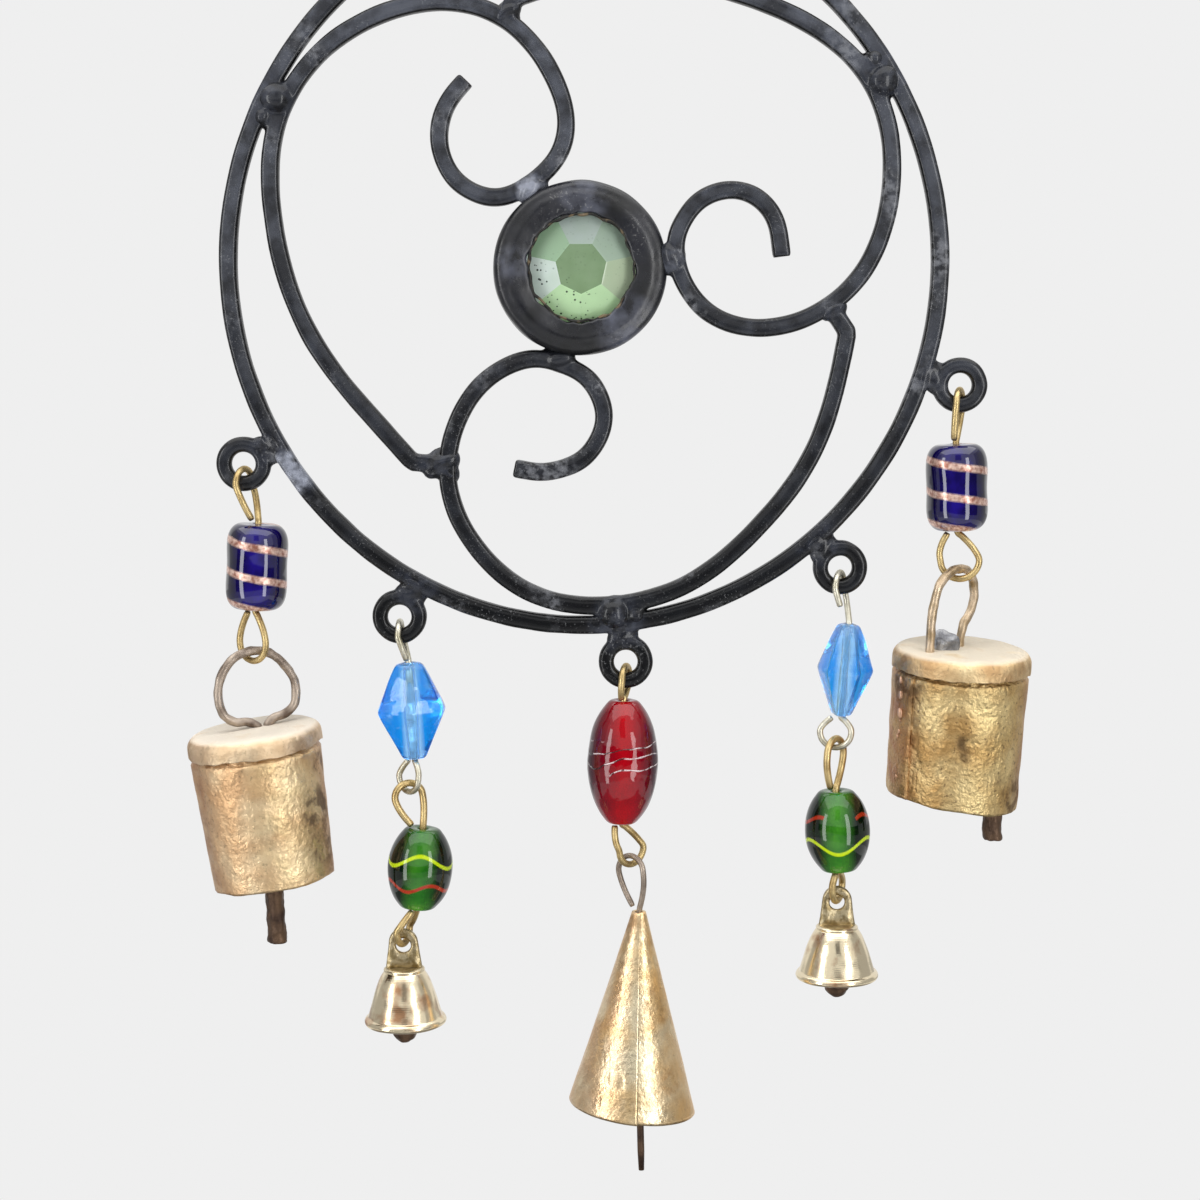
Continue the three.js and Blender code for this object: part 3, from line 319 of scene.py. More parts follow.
def lump(centre, half, yaw=0.0, seed=0, uneven=0.06):
    """Uneven ellipsoid: a sphere's grid stretched by its half sizes, swollen by the waves and turned about Y."""
    lat = np.linspace(-np.pi / 2, np.pi / 2, 14)[1:-1, None]
    lon = full_turn(24)[None]
    ball = np.stack([np.cos(lat) * np.cos(lon), np.cos(lat) * np.sin(lon), np.sin(lat) + 0 * lon], -1)
    ball = ball * (1 + uneven * waves(ball, 1.6, seed))[..., None] * np.asarray(half, float)
    return skin(ball @ about_y(yaw).T + np.asarray(centre, float))


def about_y(degrees):
    """Turns points about Y so that +X moves towards +Z."""
    c, s = math.cos(math.radians(degrees)), math.sin(math.radians(degrees))
    return np.array([[c, 0, -s], [0, 1, 0], [s, 0, c]])


def about_x(degrees):
    """Turns points about X so that +Y moves towards +Z."""
    c, s = math.cos(math.radians(degrees)), math.sin(math.radians(degrees))
    return np.array([[1, 0, 0], [0, c, -s], [0, s, c]])


def about_z(degrees):
    """Turns points about Z so that +X moves towards +Y."""
    c, s = math.cos(math.radians(degrees)), math.sin(math.radians(degrees))
    return np.array([[c, -s, 0], [s, c, 0], [0, 0, 1]])


def across(yaw):
    """Level unit vector at that angle from +X."""
    return np.array([math.cos(math.radians(yaw)), math.sin(math.radians(yaw)), 0.0])


def placed(shell, origin, turn=None):
    """A surface turned and moved to its origin."""
    points, quads, tris = shell
    return (points if turn is None else points @ turn.T) + origin, quads, tris


def joint_at(name):
    """Where a joint turns, in millimetres."""
    return np.array(JOINTS[name]["pos_m"]) / MM


# Meshes

def to_mesh(name, points, quads, tris):
    """Mesh data from arrays of points, four-sided faces and three-sided faces."""
    mesh = bpy.data.meshes.new(name)
    mesh.vertices.add(len(points))
    mesh.vertices.foreach_set("co", np.asarray(points, np.float32).ravel())
    corners = np.concatenate([quads.ravel(), tris.ravel()]).astype(np.int32)
    mesh.loops.add(len(corners))
    mesh.loops.foreach_set("vertex_index", corners)
    starts = np.concatenate([np.arange(len(quads)) * 4, quads.size + np.arange(len(tris)) * 3])
    mesh.polygons.add(len(starts))
    mesh.polygons.foreach_set("loop_start", starts.astype(np.int32))
    mesh.update(calc_edges=True)
    mesh.validate()
    return mesh


def read_points(mesh):
    """A mesh's points and its normals at them."""
    points = np.empty(len(mesh.vertices) * 3, np.float32)
    mesh.vertices.foreach_get("co", points)
    normals = np.empty_like(points)
    mesh.vertices.foreach_get("normal", normals)
    return points.reshape(-1, 3).astype(float), normals.reshape(-1, 3).astype(float)


def fused(shells, voxel, soften):
    """Closed surfaces melted into one skin: a voxel remesh joins them, then smoothing rounds every edge and fills
    the creases between them, as a weld or a casting does."""
    mesh = to_mesh("fusing", *merged(shells))
    piece = bpy.data.objects.new("fusing", mesh)
    bpy.context.scene.collection.objects.link(piece)
    remesh = piece.modifiers.new("Remesh", "REMESH")
    remesh.mode = "VOXEL"
    remesh.voxel_size = voxel
    smooth = piece.modifiers.new("Smooth", "SMOOTH")
    smooth.factor, smooth.iterations = 0.5, soften
    evaluated = piece.evaluated_get(bpy.context.evaluated_depsgraph_get())
    skin_mesh = bpy.data.meshes.new_from_object(evaluated)
    bpy.data.objects.remove(piece)
    bpy.data.meshes.remove(mesh)
    return skin_mesh


def add_piece(name, mesh, body, slot, coat, replaced=(), local=None, spots=(), uneven=(), flat=False):
    """Finishes a mesh in millimetres as a piece: unevenness along its normals, the attributes that its material
    reads, metres, its coat and its place on a body. local is the piece's own origin and turn; a spot, such as a
    weld or a burn, is a centre, a reach and a strength."""
    points, normals = read_points(mesh)
    for height, size, seed in uneven:
        points = points + normals * (height * waves(points, size, seed))[:, None]

    def add_attribute(key, kind, field, values):
        values = np.asarray(values, np.float32)
        mesh.attributes.new(key, kind, "POINT").data.foreach_set(field, values.ravel())

    if local is not None:
        origin, turn = local
        inside = (points - origin) @ turn
        add_attribute("own", "FLOAT_VECTOR", "vector", inside)
        add_attribute("away", "FLOAT_VECTOR", "vector", unit(inside * (1, 1, 0) + (1e-6, 0, 0)) @ turn.T)
    if len(spots):
        near = [np.clip(2.4 - 1.6 * np.linalg.norm(points - np.asarray(centre), axis=1) / reach, 0, 1) * strength
                for centre, reach, strength in spots]
        add_attribute("spot", "FLOAT", "value", np.max(near, axis=0))
    mesh.vertices.foreach_set("co", (points * MM).astype(np.float32).ravel())
    mesh.polygons.foreach_set("use_smooth", np.full(len(mesh.polygons), not flat))
    mesh.update()
    mesh.name = name
    piece = bpy.data.objects.new(name, mesh)
    bpy.context.scene.collection.objects.link(piece)
    mesh.materials.clear()
    mesh.materials.append(finish(coat))
    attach(piece, body)
    if replaced:
        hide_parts(*replaced)


def add_shells(name, shells, *args, **kwargs):
    """A piece straight from closed surfaces."""
    add_piece(name, to_mesh(name, *merged(shells)), *args, **kwargs)


# Materials

def linear(hex_colour):
    """An sRGB hex colour as linear red, green, blue and a full alpha."""
    parts = [int(hex_colour[i:i + 2], 16) / 255 for i in (1, 3, 5)]
    return tuple(c / 12.92 if c <= 0.04045 else ((c + 0.055) / 1.055) ** 2.4 for c in parts) + (1.0,)


class Nodes:
    """Adds nodes to a tree. A value is a number, a colour as a hex string, or the socket that it comes from."""

    def __init__(self, tree):
        self.tree = tree

    def add(self, kind, settings=None, inputs=None):
        """A node with its properties set, and its inputs set or linked by name or number."""
        node = self.tree.nodes.new(f"ShaderNode{kind}")
        for key, value in (settings or {}).items():
            setattr(node, key, value)
        for key, value in (inputs or {}).items():
            if isinstance(value, bpy.types.NodeSocket):
                self.tree.links.new(value, node.inputs[key])
            else:
                node.inputs[key].default_value = linear(value) if isinstance(value, str) else value
        return node

    def maths(self, operation, *values):
        """One sum on sockets or numbers."""
        return self.add("Math", {"operation": operation}, dict(enumerate(values))).outputs[0]

    def times(self, first, second):
        """Product of two values."""
        return self.maths("MULTIPLY", first, second)

    def scaled(self, value, factor, shift):
        """A value times a factor, plus a shift."""
        return self.maths("MULTIPLY_ADD", value, factor, shift)

    def ramp(self, value, low, high):
        """0 at low, 1 at high and even between, whichever is the greater."""
        return self.add("MapRange", inputs={0: value, 1: low, 2: high}).outputs[0]

    def mixed(self, factor, first, second):
        """One colour where the factor is 0, the other where it is 1."""
        return self.add("Mix", {"data_type": "RGBA"}, {0: factor, 6: first, 7: second}).outputs[2]

    def attribute(self, name, output="Fac"):
        """What the mesh says at each point under that name."""
        return self.add("Attribute", {"attribute_name": name}).outputs[output]

    def parts(self, vector):
        """X, Y and Z of a vector."""
        return self.add("SeparateXYZ", inputs={0: vector}).outputs

    def own_axes(self):
        """The piece's own X, Y and Z in millimetres."""
        return self.parts(self.attribute("own", "Vector"))

    def noise(self, size, low=0.35, high=0.65, detail=3.0):
        """Cloudy pattern with patches about size millimetres across, stretched from 0 at low to 1 at high."""
        place = self.add("TexCoord").outputs["Object"]
        cloud = self.add("TexNoise", inputs={"Vector": place, "Scale": MM_PER_METRE / size, "Detail": detail})
        return self.ramp(cloud.outputs[0], low, high)

    def bumps(self, size, detail):
        """The noise stretched over most of its range, for reliefs."""
        return self.noise(size, 0.2, 0.8, detail)

    def line_near(self, distance, half, soft=0.15):
        """1 within half a width of a line and 0 beyond, with a soft edge."""
        return self.ramp(self.maths("ABSOLUTE", distance), half + soft, half - soft)

    def turn_share(self, x, y):
        """Angle round the piece's axis as a share of a full turn."""
        return self.maths("DIVIDE", self.maths("ARCTAN2", y, x), 2 * math.pi)

    def beside_axis(self):
        """How far from the piece's axis the eye's line passes, in millimetres: the radius times the sine of the
        angle between that line and the way out from the axis. It tells the glass over the bore from the glass
        beside it."""
        x, y, _ = self.own_axes()
        away = self.add("VectorTransform", {"vector_type": "NORMAL", "convert_from": "OBJECT", "convert_to": "WORLD"},
                        {0: self.attribute("away", "Vector")}).outputs[0]
        facing = self.add("LayerWeight", inputs={"Blend": 0.5, "Normal": away}).outputs["Facing"]
        cosine = self.maths("SUBTRACT", 1.0, facing)
        sine = self.maths("SQRT", self.maths("SUBTRACT", 1.0, self.times(cosine, cosine)))
        radius = self.maths("SQRT", self.maths("ADD", self.times(x, x), self.times(y, y)))
        return self.times(radius, sine)

    def beyond_lamps(self):
        """1 for rays from the camera or off glossy and clear surfaces, 0 for the rays that carry the light."""
        path = self.add("LightPath").outputs
        seen = self.maths("MAXIMUM", path["Is Camera Ray"], path["Is Glossy Ray"])
        return self.maths("MAXIMUM", seen, path["Is Transmission Ray"])


class Paint(Nodes):
    """A new material whose constant sockets are set on the shader itself."""

    def __init__(self, name, **sockets):
        self.material = bpy.data.materials.new(name)
        self.material.use_nodes = True
        super().__init__(self.material.node_tree)
        self.shader = self.tree.nodes["Principled BSDF"]
        for key, value in sockets.items():
            self.shader.inputs[key.replace("_", " ")].default_value = value

    def done(self, colour, rough=None, metal=None, relief=()):
        """Links what was painted. The relief is pairs of a pattern and its depth in millimetres."""
        normal = None
        for pattern, depth in relief:
            inputs = {"Height": pattern, "Distance": depth * MM, "Strength": 1.0}
            if normal is not None:
                inputs["Normal"] = normal
            normal = self.add("Bump", inputs=inputs).outputs[0]
        for key, socket in {"Base Color": colour, "Roughness": rough, "Metallic": metal, "Normal": normal}.items():
            if socket is not None:
                self.tree.links.new(socket, self.shader.inputs[key])
        return self.material


def side_shading(m, tone, painted_sides):
    """Bands of painted shade and painted highlight down one side of a turned or rolled piece, each an angle round its
    axis, a half width in degrees, a strength and a colour. The cosine of the angle from the band's middle tells how
    near a point is."""
    soft = 14
    out = m.add("VectorMath", {"operation": "MULTIPLY"}, {0: m.attribute("own", "Vector"), 1: (1, 1, 0)}).outputs[0]
    out = m.add("VectorMath", {"operation": "NORMALIZE"}, {0: out}).outputs[0]
    for angle, half, strength, colour in painted_sides:
        near = m.add("VectorMath", {"operation": "DOT_PRODUCT"}, {0: out, 1: tuple(across(angle))}).outputs["Value"]
        band = m.ramp(near, math.cos(math.radians(half + soft)), math.cos(math.radians(max(half - soft, 0))))
        patchy = m.scaled(m.noise(5, 0.35, 0.6, 5), 0.6, 0.4)
        tone = m.mixed(m.times(m.times(band, patchy), strength), tone, colour)
    return tone


def satin_black_iron():
    """Black paint brushed over forged bar. The faces are painted bluish grey as a painted reflection of the soft
    light, and paler high up as painted light from above; the sides are painted near black as painted shade, and are
    duller. The welds are pale where flux was left, and fine specks of dust and a few scuffs lie on all of it."""
    m = Paint("satin_black_iron", IOR=1.5, Specular_IOR_Level=0.12, Coat_Weight=0.45, Coat_Roughness=0.12,
              Coat_IOR=1.5)
    weld, place = m.attribute("spot"), m.add("TexCoord").outputs
    # Painted light: the faces are painted paler high up, where the light from above falls, and darker low down
    height = m.scaled(m.noise(14, 0.3, 0.7, 3), 0.03, m.parts(place["Object"])[2])
    front = m.ramp(m.maths("ABSOLUTE", m.parts(place["Normal"])[1]), 0.75, 0.97)
    face = m.mixed(m.ramp(height, -0.15, -0.02), "#0C0D0F", "#44474F")
    face = m.mixed(m.times(m.noise(5, 0.38, 0.62, 4), 0.75), face, "#0A0A0C")
    # Painted shade: the sides, which face neither front nor back, are painted near black
    tone = m.mixed(front, "#030304", face)
    tone = m.mixed(weld, tone, m.mixed(m.noise(2.5, 0.4, 0.6, 4), "#131418", "#2F323B"))
    flux = m.times(m.ramp(weld, 0.75, 1.6), m.noise(2.2, 0.3, 0.6, 4))
    scuff = m.times(m.times(m.noise(16, 0.56, 0.66, 4), m.noise(1.8, 0.42, 0.6, 4)), 0.36)
    dust = m.times(m.times(m.noise(0.5, 0.62, 0.68, 1), m.noise(8, 0.45, 0.65)), 0.25)
    for amount, colour in ((flux, "#848894"), (scuff, "#8A8C92"), (dust, "#8D8E90")):
        tone = m.mixed(amount, tone, colour)
    return m.done(tone, m.scaled(m.noise(5), 0.1, m.scaled(front, -0.24, 0.5)),
                  relief=[(m.bumps(3.2, 3), 0.16), (m.bumps(0.7, 2), 0.012)])


def glossy_black_disc():
    """The disc's thick paint, smoother than the bars', with painted soft bluish reflections at a few spots and fine
    scratches.
    """
    m = Paint("glossy_black_disc", IOR=1.5, Specular_IOR_Level=0.5)
    painted_reflections = m.times(m.times(m.attribute("spot"), m.noise(4, 0.35, 0.7, 4)), 0.38)
    scratch = m.times(m.times(m.noise(0.5, 0.62, 0.68, 2), m.noise(9, 0.54, 0.62)), 0.2)
    tone = m.mixed(painted_reflections, m.mixed(m.noise(9), "#090A0C", "#191A20"), "#6E7282")
    return m.done(m.mixed(scratch, tone, "#9A9A98"), m.scaled(m.noise(4), 0.12, 0.24),
                  relief=[(m.bumps(7, 2), 0.2), (m.bumps(1.1, 2), 0.02)])


def cloudy_metal(name, metal, clouds, first, second, gloss, relief):
    """Metal in two tones that mix in clouds. clouds are the noise's values, gloss the size of its patches and the
    least roughness, and the relief holds each noise's values and its depth."""
    m = Paint(name, Metallic=metal)
    patches, least = gloss
    return m.done(m.mixed(m.noise(*clouds), first, second), m.scaled(m.noise(patches), 0.2, least),
                  relief=[(m.noise(*values), depth) for *values, depth in relief])


def bent_wire(name, bright, dull, rough):
    """Drawn wire bent cold with pliers: bright, with dull discoloured patches and fine marks from the jaws."""
    return cloudy_metal(name, 1.0, (3.5, 0.4, 0.7), bright, dull, (2, rough), [(0.9, 0.3, 0.7, 2, 0.015)])


def braze_coated_sheet(name, tones, rough, grain, painted_sides, top=None, burning=0.6, uneven=0.15):
    """Thin iron sheet hammered and dipped in molten braze. Soft cloudy runs of metal, fine grain of the flux and
    burnt patches stay on it; on a cap the dark patches at its left and right sides are painted shade. Bands of
    painted shade and painted highlight run down its sides. A cap's level top is painted paler and duller in patches,
    as painted light from above."""
    m = Paint(name, Metallic=1.0)
    bright, warm, dark = tones
    tone = side_shading(m, m.mixed(m.noise(9, 0.38, 0.62, 5), bright, warm), painted_sides)
    burnt = m.times(m.noise(11, burning, burning + 0.18, 5), m.noise(2.2, 0.35, 0.6, 3))
    burnt = m.maths("MAXIMUM", burnt, m.times(m.attribute("spot"), m.noise(3.0, 0.42, 0.58, 5)))
    tone = m.mixed(m.times(burnt, 0.75), tone, dark)
    tone = m.mixed(m.times(m.noise(0.8, 0.6, 0.72, 2), grain * 0.6), tone, dark)
    gloss, metal = m.scaled(m.noise(3), 0.14, rough), None
    if top:
        # Painted light: the level top, facing the light from above, is painted paler and less metallic in patches
        level = m.ramp(m.parts(m.add("TexCoord").outputs["Normal"])[2], 0.55, 0.97)
        painted_top_light = m.times(level, m.noise(6, 0.15, 0.42, 4))
        tone, metal = m.mixed(painted_top_light, tone, top), m.scaled(painted_top_light, -0.95, 1.0)
        gloss = m.scaled(painted_top_light, 0.2, gloss)
    return m.done(tone, m.scaled(burnt, 0.2, gloss), metal,
                  [(m.bumps(4.5, 2), uneven), (m.bumps(1.0, 3), 0.25 * grain)])


def polished_casting():
    """Cast brass: the bell turned bright, with faint rings from the lathe, its tab left dull, gritty and filed."""
    m = Paint("polished_casting", Metallic=1.0)
    height = m.own_axes()[2]
    tab = m.ramp(height, -5.9, -5.3)
    dull = m.mixed(m.noise(1.2, 0.42, 0.6, 3), "#BEAF8E", "#94835F")
    tone = m.mixed(tab, m.mixed(m.noise(5, 0.52, 0.72, 4), "#EFE0C0", "#B98F6C"), dull)
    rings, grit = m.maths("SINE", m.times(height, 14.0)), m.times(m.noise(0.7, 0.3, 0.7, 3), tab)
    return m.done(tone, m.scaled(tab, 0.2, m.scaled(m.noise(2.5), 0.12, 0.14)),
                  relief=[(m.bumps(4.5, 2), 0.06), (rings, 0.002), (grit, 0.04)])


def cobalt_glass():
    """Deep blue lamp-worked glass with copper wire wound into its surface. The spiral is height over pitch plus
    the turn round the bead, taken without its whole part."""
    m = Paint("cobalt_glass", IOR=1.5, Coat_Weight=0.5, Coat_Roughness=0.04)
    x, y, z = m.own_axes()
    pitch = 6.9
    climb = m.maths("ADD", m.maths("DIVIDE", z, pitch), m.turn_share(x, y))
    climb = m.maths("ADD", climb, m.times(m.noise(6, 0.0, 1.0, 2), 0.1))
    band = m.line_near(m.maths("SUBTRACT", m.maths("FRACT", climb), 0.5), 0.11, 0.035)
    # Painted light and shade: the blue is painted brighter over the middle, where light comes through the glass, and
    # near black towards the sides
    deep = m.mixed(m.ramp(m.beside_axis(), 1.0, 6.2), m.mixed(m.noise(4), "#0D0544", "#190D6A"), "#030114")
    copper = m.mixed(m.noise(0.9), "#9A6656", "#E6C6B6")
    return m.done(m.mixed(band, deep, copper), m.scaled(band, 0.3, 0.05), m.times(band, 0.7), [(band, 0.08)])


def azure_glass():
    """Clear pressed blue glass: painted pale where the eye looks along the bore, partly the white bore seen through
    the glass and partly painted light coming through it; cyan beside it and lower down, and violet at the upper
    sides, with a few trapped streaks."""
    m = Paint("azure_glass", IOR=1.5, Transmission_Weight=0.8, Roughness=0.03, Specular_IOR_Level=0.4)
    beside = m.beside_axis()
    upper = m.ramp(m.scaled(m.noise(7, 0.2, 0.8, 2), 4.0, m.own_axes()[2]), -1.0, 7.0)
    tone = m.mixed(upper, "#0090EC", "#2C9EF4")
    tone = m.mixed(m.times(m.ramp(beside, 4.0, 6.5), upper), tone, "#4E7CEA")
    # Painted light: pale over the bore, partly the white bore seen through the glass and partly light coming through
    # it
    tone = m.mixed(m.times(m.ramp(beside, 2.6, 1.4), 0.75), tone, "#B4E2FF")
    streak = m.times(m.noise(2.2, 0.58, 0.64), 0.2)
    return m.done(m.mixed(streak, tone, "#D8F2FF"), relief=[(m.bumps(3.5, 1), 0.1)])


def green_glass():
    """Green lamp-worked glass with a yellow and a red thread laid on in waves: each is a line at a height that
    swings with the turn round the bead. The red one breaks off at one side."""
    m = Paint("green_glass", IOR=1.5, Transmission_Weight=0.3, Roughness=0.05)
    x, y, z = m.own_axes()
    turn, half = m.maths("ARCTAN2", y, x), 0.42

    def thread(waves_round, shift, swing, height):
        wave = m.maths("SINE", m.scaled(turn, waves_round, shift))
        return m.line_near(m.maths("SUBTRACT", z, m.scaled(wave, swing, height)), half)

    broken = m.maths("LESS_THAN", m.scaled(x, 0.866, m.times(y, 0.5)), 5.8)
    # Painted light and shade: the green is painted bright over the middle, where light comes through the glass, and
    # near black towards the sides
    tone = m.mixed(m.ramp(m.beside_axis(), 0.5, 4.3), m.mixed(m.noise(5), "#26781A", "#4A9A28"), "#041208")
    tone = m.mixed(m.times(broken, thread(4.0, -0.14, 0.9, -3.4)), tone, "#A83018")
    return m.done(m.mixed(thread(3.0, -0.2, 1.5, 2.6), tone, "#C4DC14"))


def red_glass():
    """Clear red glass wrapped at its middle by fine silver and dark threads, a steep spiral kept to one belt."""
    m = Paint("red_glass", IOR=1.5, Transmission_Weight=0.3, Roughness=0.05)
    x, y, z = m.own_axes()
    pitch = 2.9
    climb = m.maths("ADD", m.maths("DIVIDE", z, pitch), m.times(m.noise(11, 0.2, 0.8, 2), 1.6))
    climb = m.maths("SUBTRACT", climb, m.turn_share(x, y))
    thread = m.line_near(m.maths("SUBTRACT", m.maths("FRACT", climb), 0.5), 0.05, 0.03)
    thread = m.times(thread, m.line_near(m.maths("SUBTRACT", z, 1.6), 3.6, 0.4))
    # Painted light and shade: the red is painted brighter over the middle, where light comes through the glass, and
    # dark purple towards the sides
    tone = m.mixed(m.ramp(m.beside_axis(), 1.0, 7.0), m.mixed(m.noise(8), "#8C0210", "#B20414"), "#34041A")
    silver = m.mixed(m.noise(2.2, 0.47, 0.53), "#1C0A10", "#E6D8DA")
    return m.done(m.mixed(thread, tone, silver), relief=[(thread, 0.1), (m.bumps(5, 2), 0.15)])


def pale_green_gem():
    """Pale green faceted glass. Each facet mirrors or passes another part of the sky, so the tones jump at edges.
    Specks of the black paint lie on its lower left."""
    m = Paint("pale_green_gem", IOR=1.52, Transmission_Weight=0.3, Roughness=0.05)
    # Painted reflections: each facet's tint stands for the part of the sky that it mirrors and passes
    tint = m.attribute("tint", "Color")
    x, y, _ = m.own_axes()
    cloud = m.mixed(0.75, m.mixed(m.noise(5, 0.3, 0.7, 4), tint, "#8FA888"), tint)
    dots = m.add("TexVoronoi", inputs={"Vector": m.attribute("own", "Vector"), "Scale": 1.1})
    dot = m.maths("LESS_THAN", dots.outputs["Distance"], m.times(m.noise(3, 0.35, 0.6), 0.26))
    low = m.ramp(m.maths("ADD", y, m.times(x, 0.6)), -3.0, -6.0)
    return m.done(m.mixed(m.times(dot, m.scaled(low, 0.8, 0.12)), cloud, "#10130F"))


MAKERS = {
    "black_iron": satin_black_iron,
    "black_disc": glossy_black_disc,
    "brass_wire": lambda: bent_wire("brass_wire", "#D3BC88", "#A58C5E", 0.34),
    "pale_wire": lambda: bent_wire("pale_wire", "#DEDACA", "#ACA68E", 0.34),
    "iron_wire": lambda: bent_wire("browned_wire", "#B4A698", "#6A5C52", 0.42),
    "coppered_wire": lambda: bent_wire("coppered_wire", "#D2BEA4", "#96805F", 0.38),
    "copper_drops": lambda: bent_wire("copper_drops", "#D9B295", "#8A6248", 0.35),
    # The last list of each sheet finish holds bands down its sides: the darker, warmer ones are painted shade at the
    # left and right, the paler ones painted highlights towards the front right
    "brazed_sheet": lambda: braze_coated_sheet(
        "brazed_sheet", ("#F0D6AE", "#D4AE84", "#4F4036"), 0.4, 0.6, uneven=0.25,
        painted_sides=[(196, 30, 0.75, "#A67A5C"), (-55, 30, 0.4, "#DCCC9A"), (2, 16, 0.7, "#8A6A5C")]),
    "grainy_sheet": lambda: braze_coated_sheet(
        "grainy_sheet", ("#DEC692", "#B8945F", "#54402F"), 0.38, 1.0, uneven=0.3,
        painted_sides=[(188, 28, 0.75, "#A87258"), (-8, 24, 0.55, "#A87252"), (-55, 22, 0.3, "#D6C084")]),
    "brazed_cone": lambda: braze_coated_sheet(
        "brazed_cone", ("#F4E6C4", "#DEC090", "#8A6236"), 0.27, 0.4, uneven=0.08,
        painted_sides=[(208, 42, 0.55, "#CFA27C"), (-22, 36, 0.65, "#EEBE7C")]),
    "brazed_cap": lambda: braze_coated_sheet(
        "brazed_cap", ("#ECD8B8", "#D2B896", "#6E5842"), 0.48, 0.4, top="#EEE3D2",
        painted_sides=[(200, 30, 0.5, "#B08E78"), (-20, 30, 0.5, "#B4947C")]),
    "grainy_cap": lambda: braze_coated_sheet(
        "grainy_cap", ("#E8D2A6", "#C6A478", "#6E5842"), 0.48, 0.6, top="#E9DDC8",
        painted_sides=[(188, 28, 0.6, "#9A7458"), (-8, 24, 0.4, "#AE8A62")]),
    "cast_brass": polished_casting,
    # Brown oxide on a hand-forged clapper
    "clapper_iron": lambda: cloudy_metal(
        "browned_iron", 0.75, (4, 0.35, 0.65, 4), "#3C2D25", "#67513F", (2, 0.42),
        [(2.2, 0.2, 0.8, 3, 0.18), (0.6, 0.2, 0.8, 2, 0.04)]),
    # Left as it ran, grey and slightly grainy
    "solder": lambda: cloudy_metal(
        "dull_solder", 1.0, (2,), "#7A7B7F", "#B4B5B8", (1.5, 0.45),
        [(1.4, 0.2, 0.8, 3, 0.35), (0.5, 0.2, 0.8, 2, 0.12)]),
    # Brown glue and bare metal where the glass was set, with blots of black paint
    "gilt": lambda: cloudy_metal("worn_gilt_edge", 0.2, (2.2, 0.36, 0.48), "#62543E", "#12110D", (2, 0.4), []),
    "cobalt": cobalt_glass,
    "azure": azure_glass,
    "green": green_glass,
    "red": red_glass,
    "gem": pale_green_gem,
}
FINISHES = {}


def finish(name):
    """The finish of that name, made once."""
    if name not in FINISHES:
        FINISHES[name] = MAKERS[name]()
    return FINISHES[name]


# Frame

def reach_to_oval(angle, half_width, half_height, start):
    """Distance along an angle from an inner point to an oval, the root of a quadratic."""
    dx, dz = math.cos(math.radians(angle)), math.sin(math.radians(angle))
    x, z = start
    a = (dx / half_width) ** 2 + (dz / half_height) ** 2
    b = 2 * (x * dx / half_width ** 2 + z * dz / half_height ** 2)
    c = (x / half_width) ** 2 + (z / half_height) ** 2 - 1
    return (-b + math.sqrt(b * b - 4 * a * c)) / (2 * a)


def from_centre(angle, reach, centre):
    """The point at that angle and distance from a centre, in the ring's plane."""
    return centre + reach * np.array([math.cos(math.radians(angle)), 0, math.sin(math.radians(angle))])


def ring_reach(sizes, angle, inset):
    """Distance from the bezel's centre to the ring's outside less an inset."""
    start = (BEZEL[0], BEZEL[2] - RING_Z)
    return reach_to_oval(angle, sizes.ring_half_width - inset, sizes.ring_half_height - inset, start)


def scroll_line(sizes, name):
    """The scroll's middle line: a spline through points between the bezel's rim and the ring, evened more
    strongly beyond its tight curl."""
    near = sizes.bezel_radius + CLEAR + sizes.bar / 2
    points = [from_centre(angle, near + share * (ring_reach(sizes, angle, sizes.bar * 1.5 + CLEAR) - near), BEZEL)
              for angle, share in SCROLLS[name]["points"]]
    line = spline(points, 12)
    light, strong = evened(line, 2.6), evened(line, 8.0)
    curl, change = 40, 35
    share = np.clip((np.arange(len(light)) * EVEN_STEP - curl) / change, 0, 1)[:, None]
    return light + (strong - light) * share ** 2 * (3 - 2 * share)


def ring_weld_lumps(sizes, angle, less=0.0):
    """The weld between a scroll and the ring: two uneven lumps over both bars, made smaller for the ring's side."""
    half = sizes.bar / 2
    return [lump(from_centre(angle + shift, ring_reach(sizes, angle + shift, sizes.bar + inward), BEZEL),
                 np.array(size) - less, angle, seed, 0.04)
            for shift, inward, size, seed in (
                (-0.6, 0.4, [half * 1.95, half + 1.8, half * 2.0], 4),
                (3.2, -0.6, [half * 1.1, half + 0.7, half * 1.2], 5))]


def eyelet_weld_lumps(sizes, angle, less=0.0):
    """The weld at an eyelet's neck: a waist and a foot that spreads over the ring's outer half."""
    _, reach = eyelet_centre(sizes, angle)
    return [lump(from_centre(angle, reach + 0.9, RING_CENTRE), np.array([2.6, 2.0, 3.3]) - less, angle, 11, 0.08),
            lump(from_centre(angle, reach - 1.2, RING_CENTRE), np.array([2.0, 2.35, 4.6]) - less, angle, 12, 0.08)]


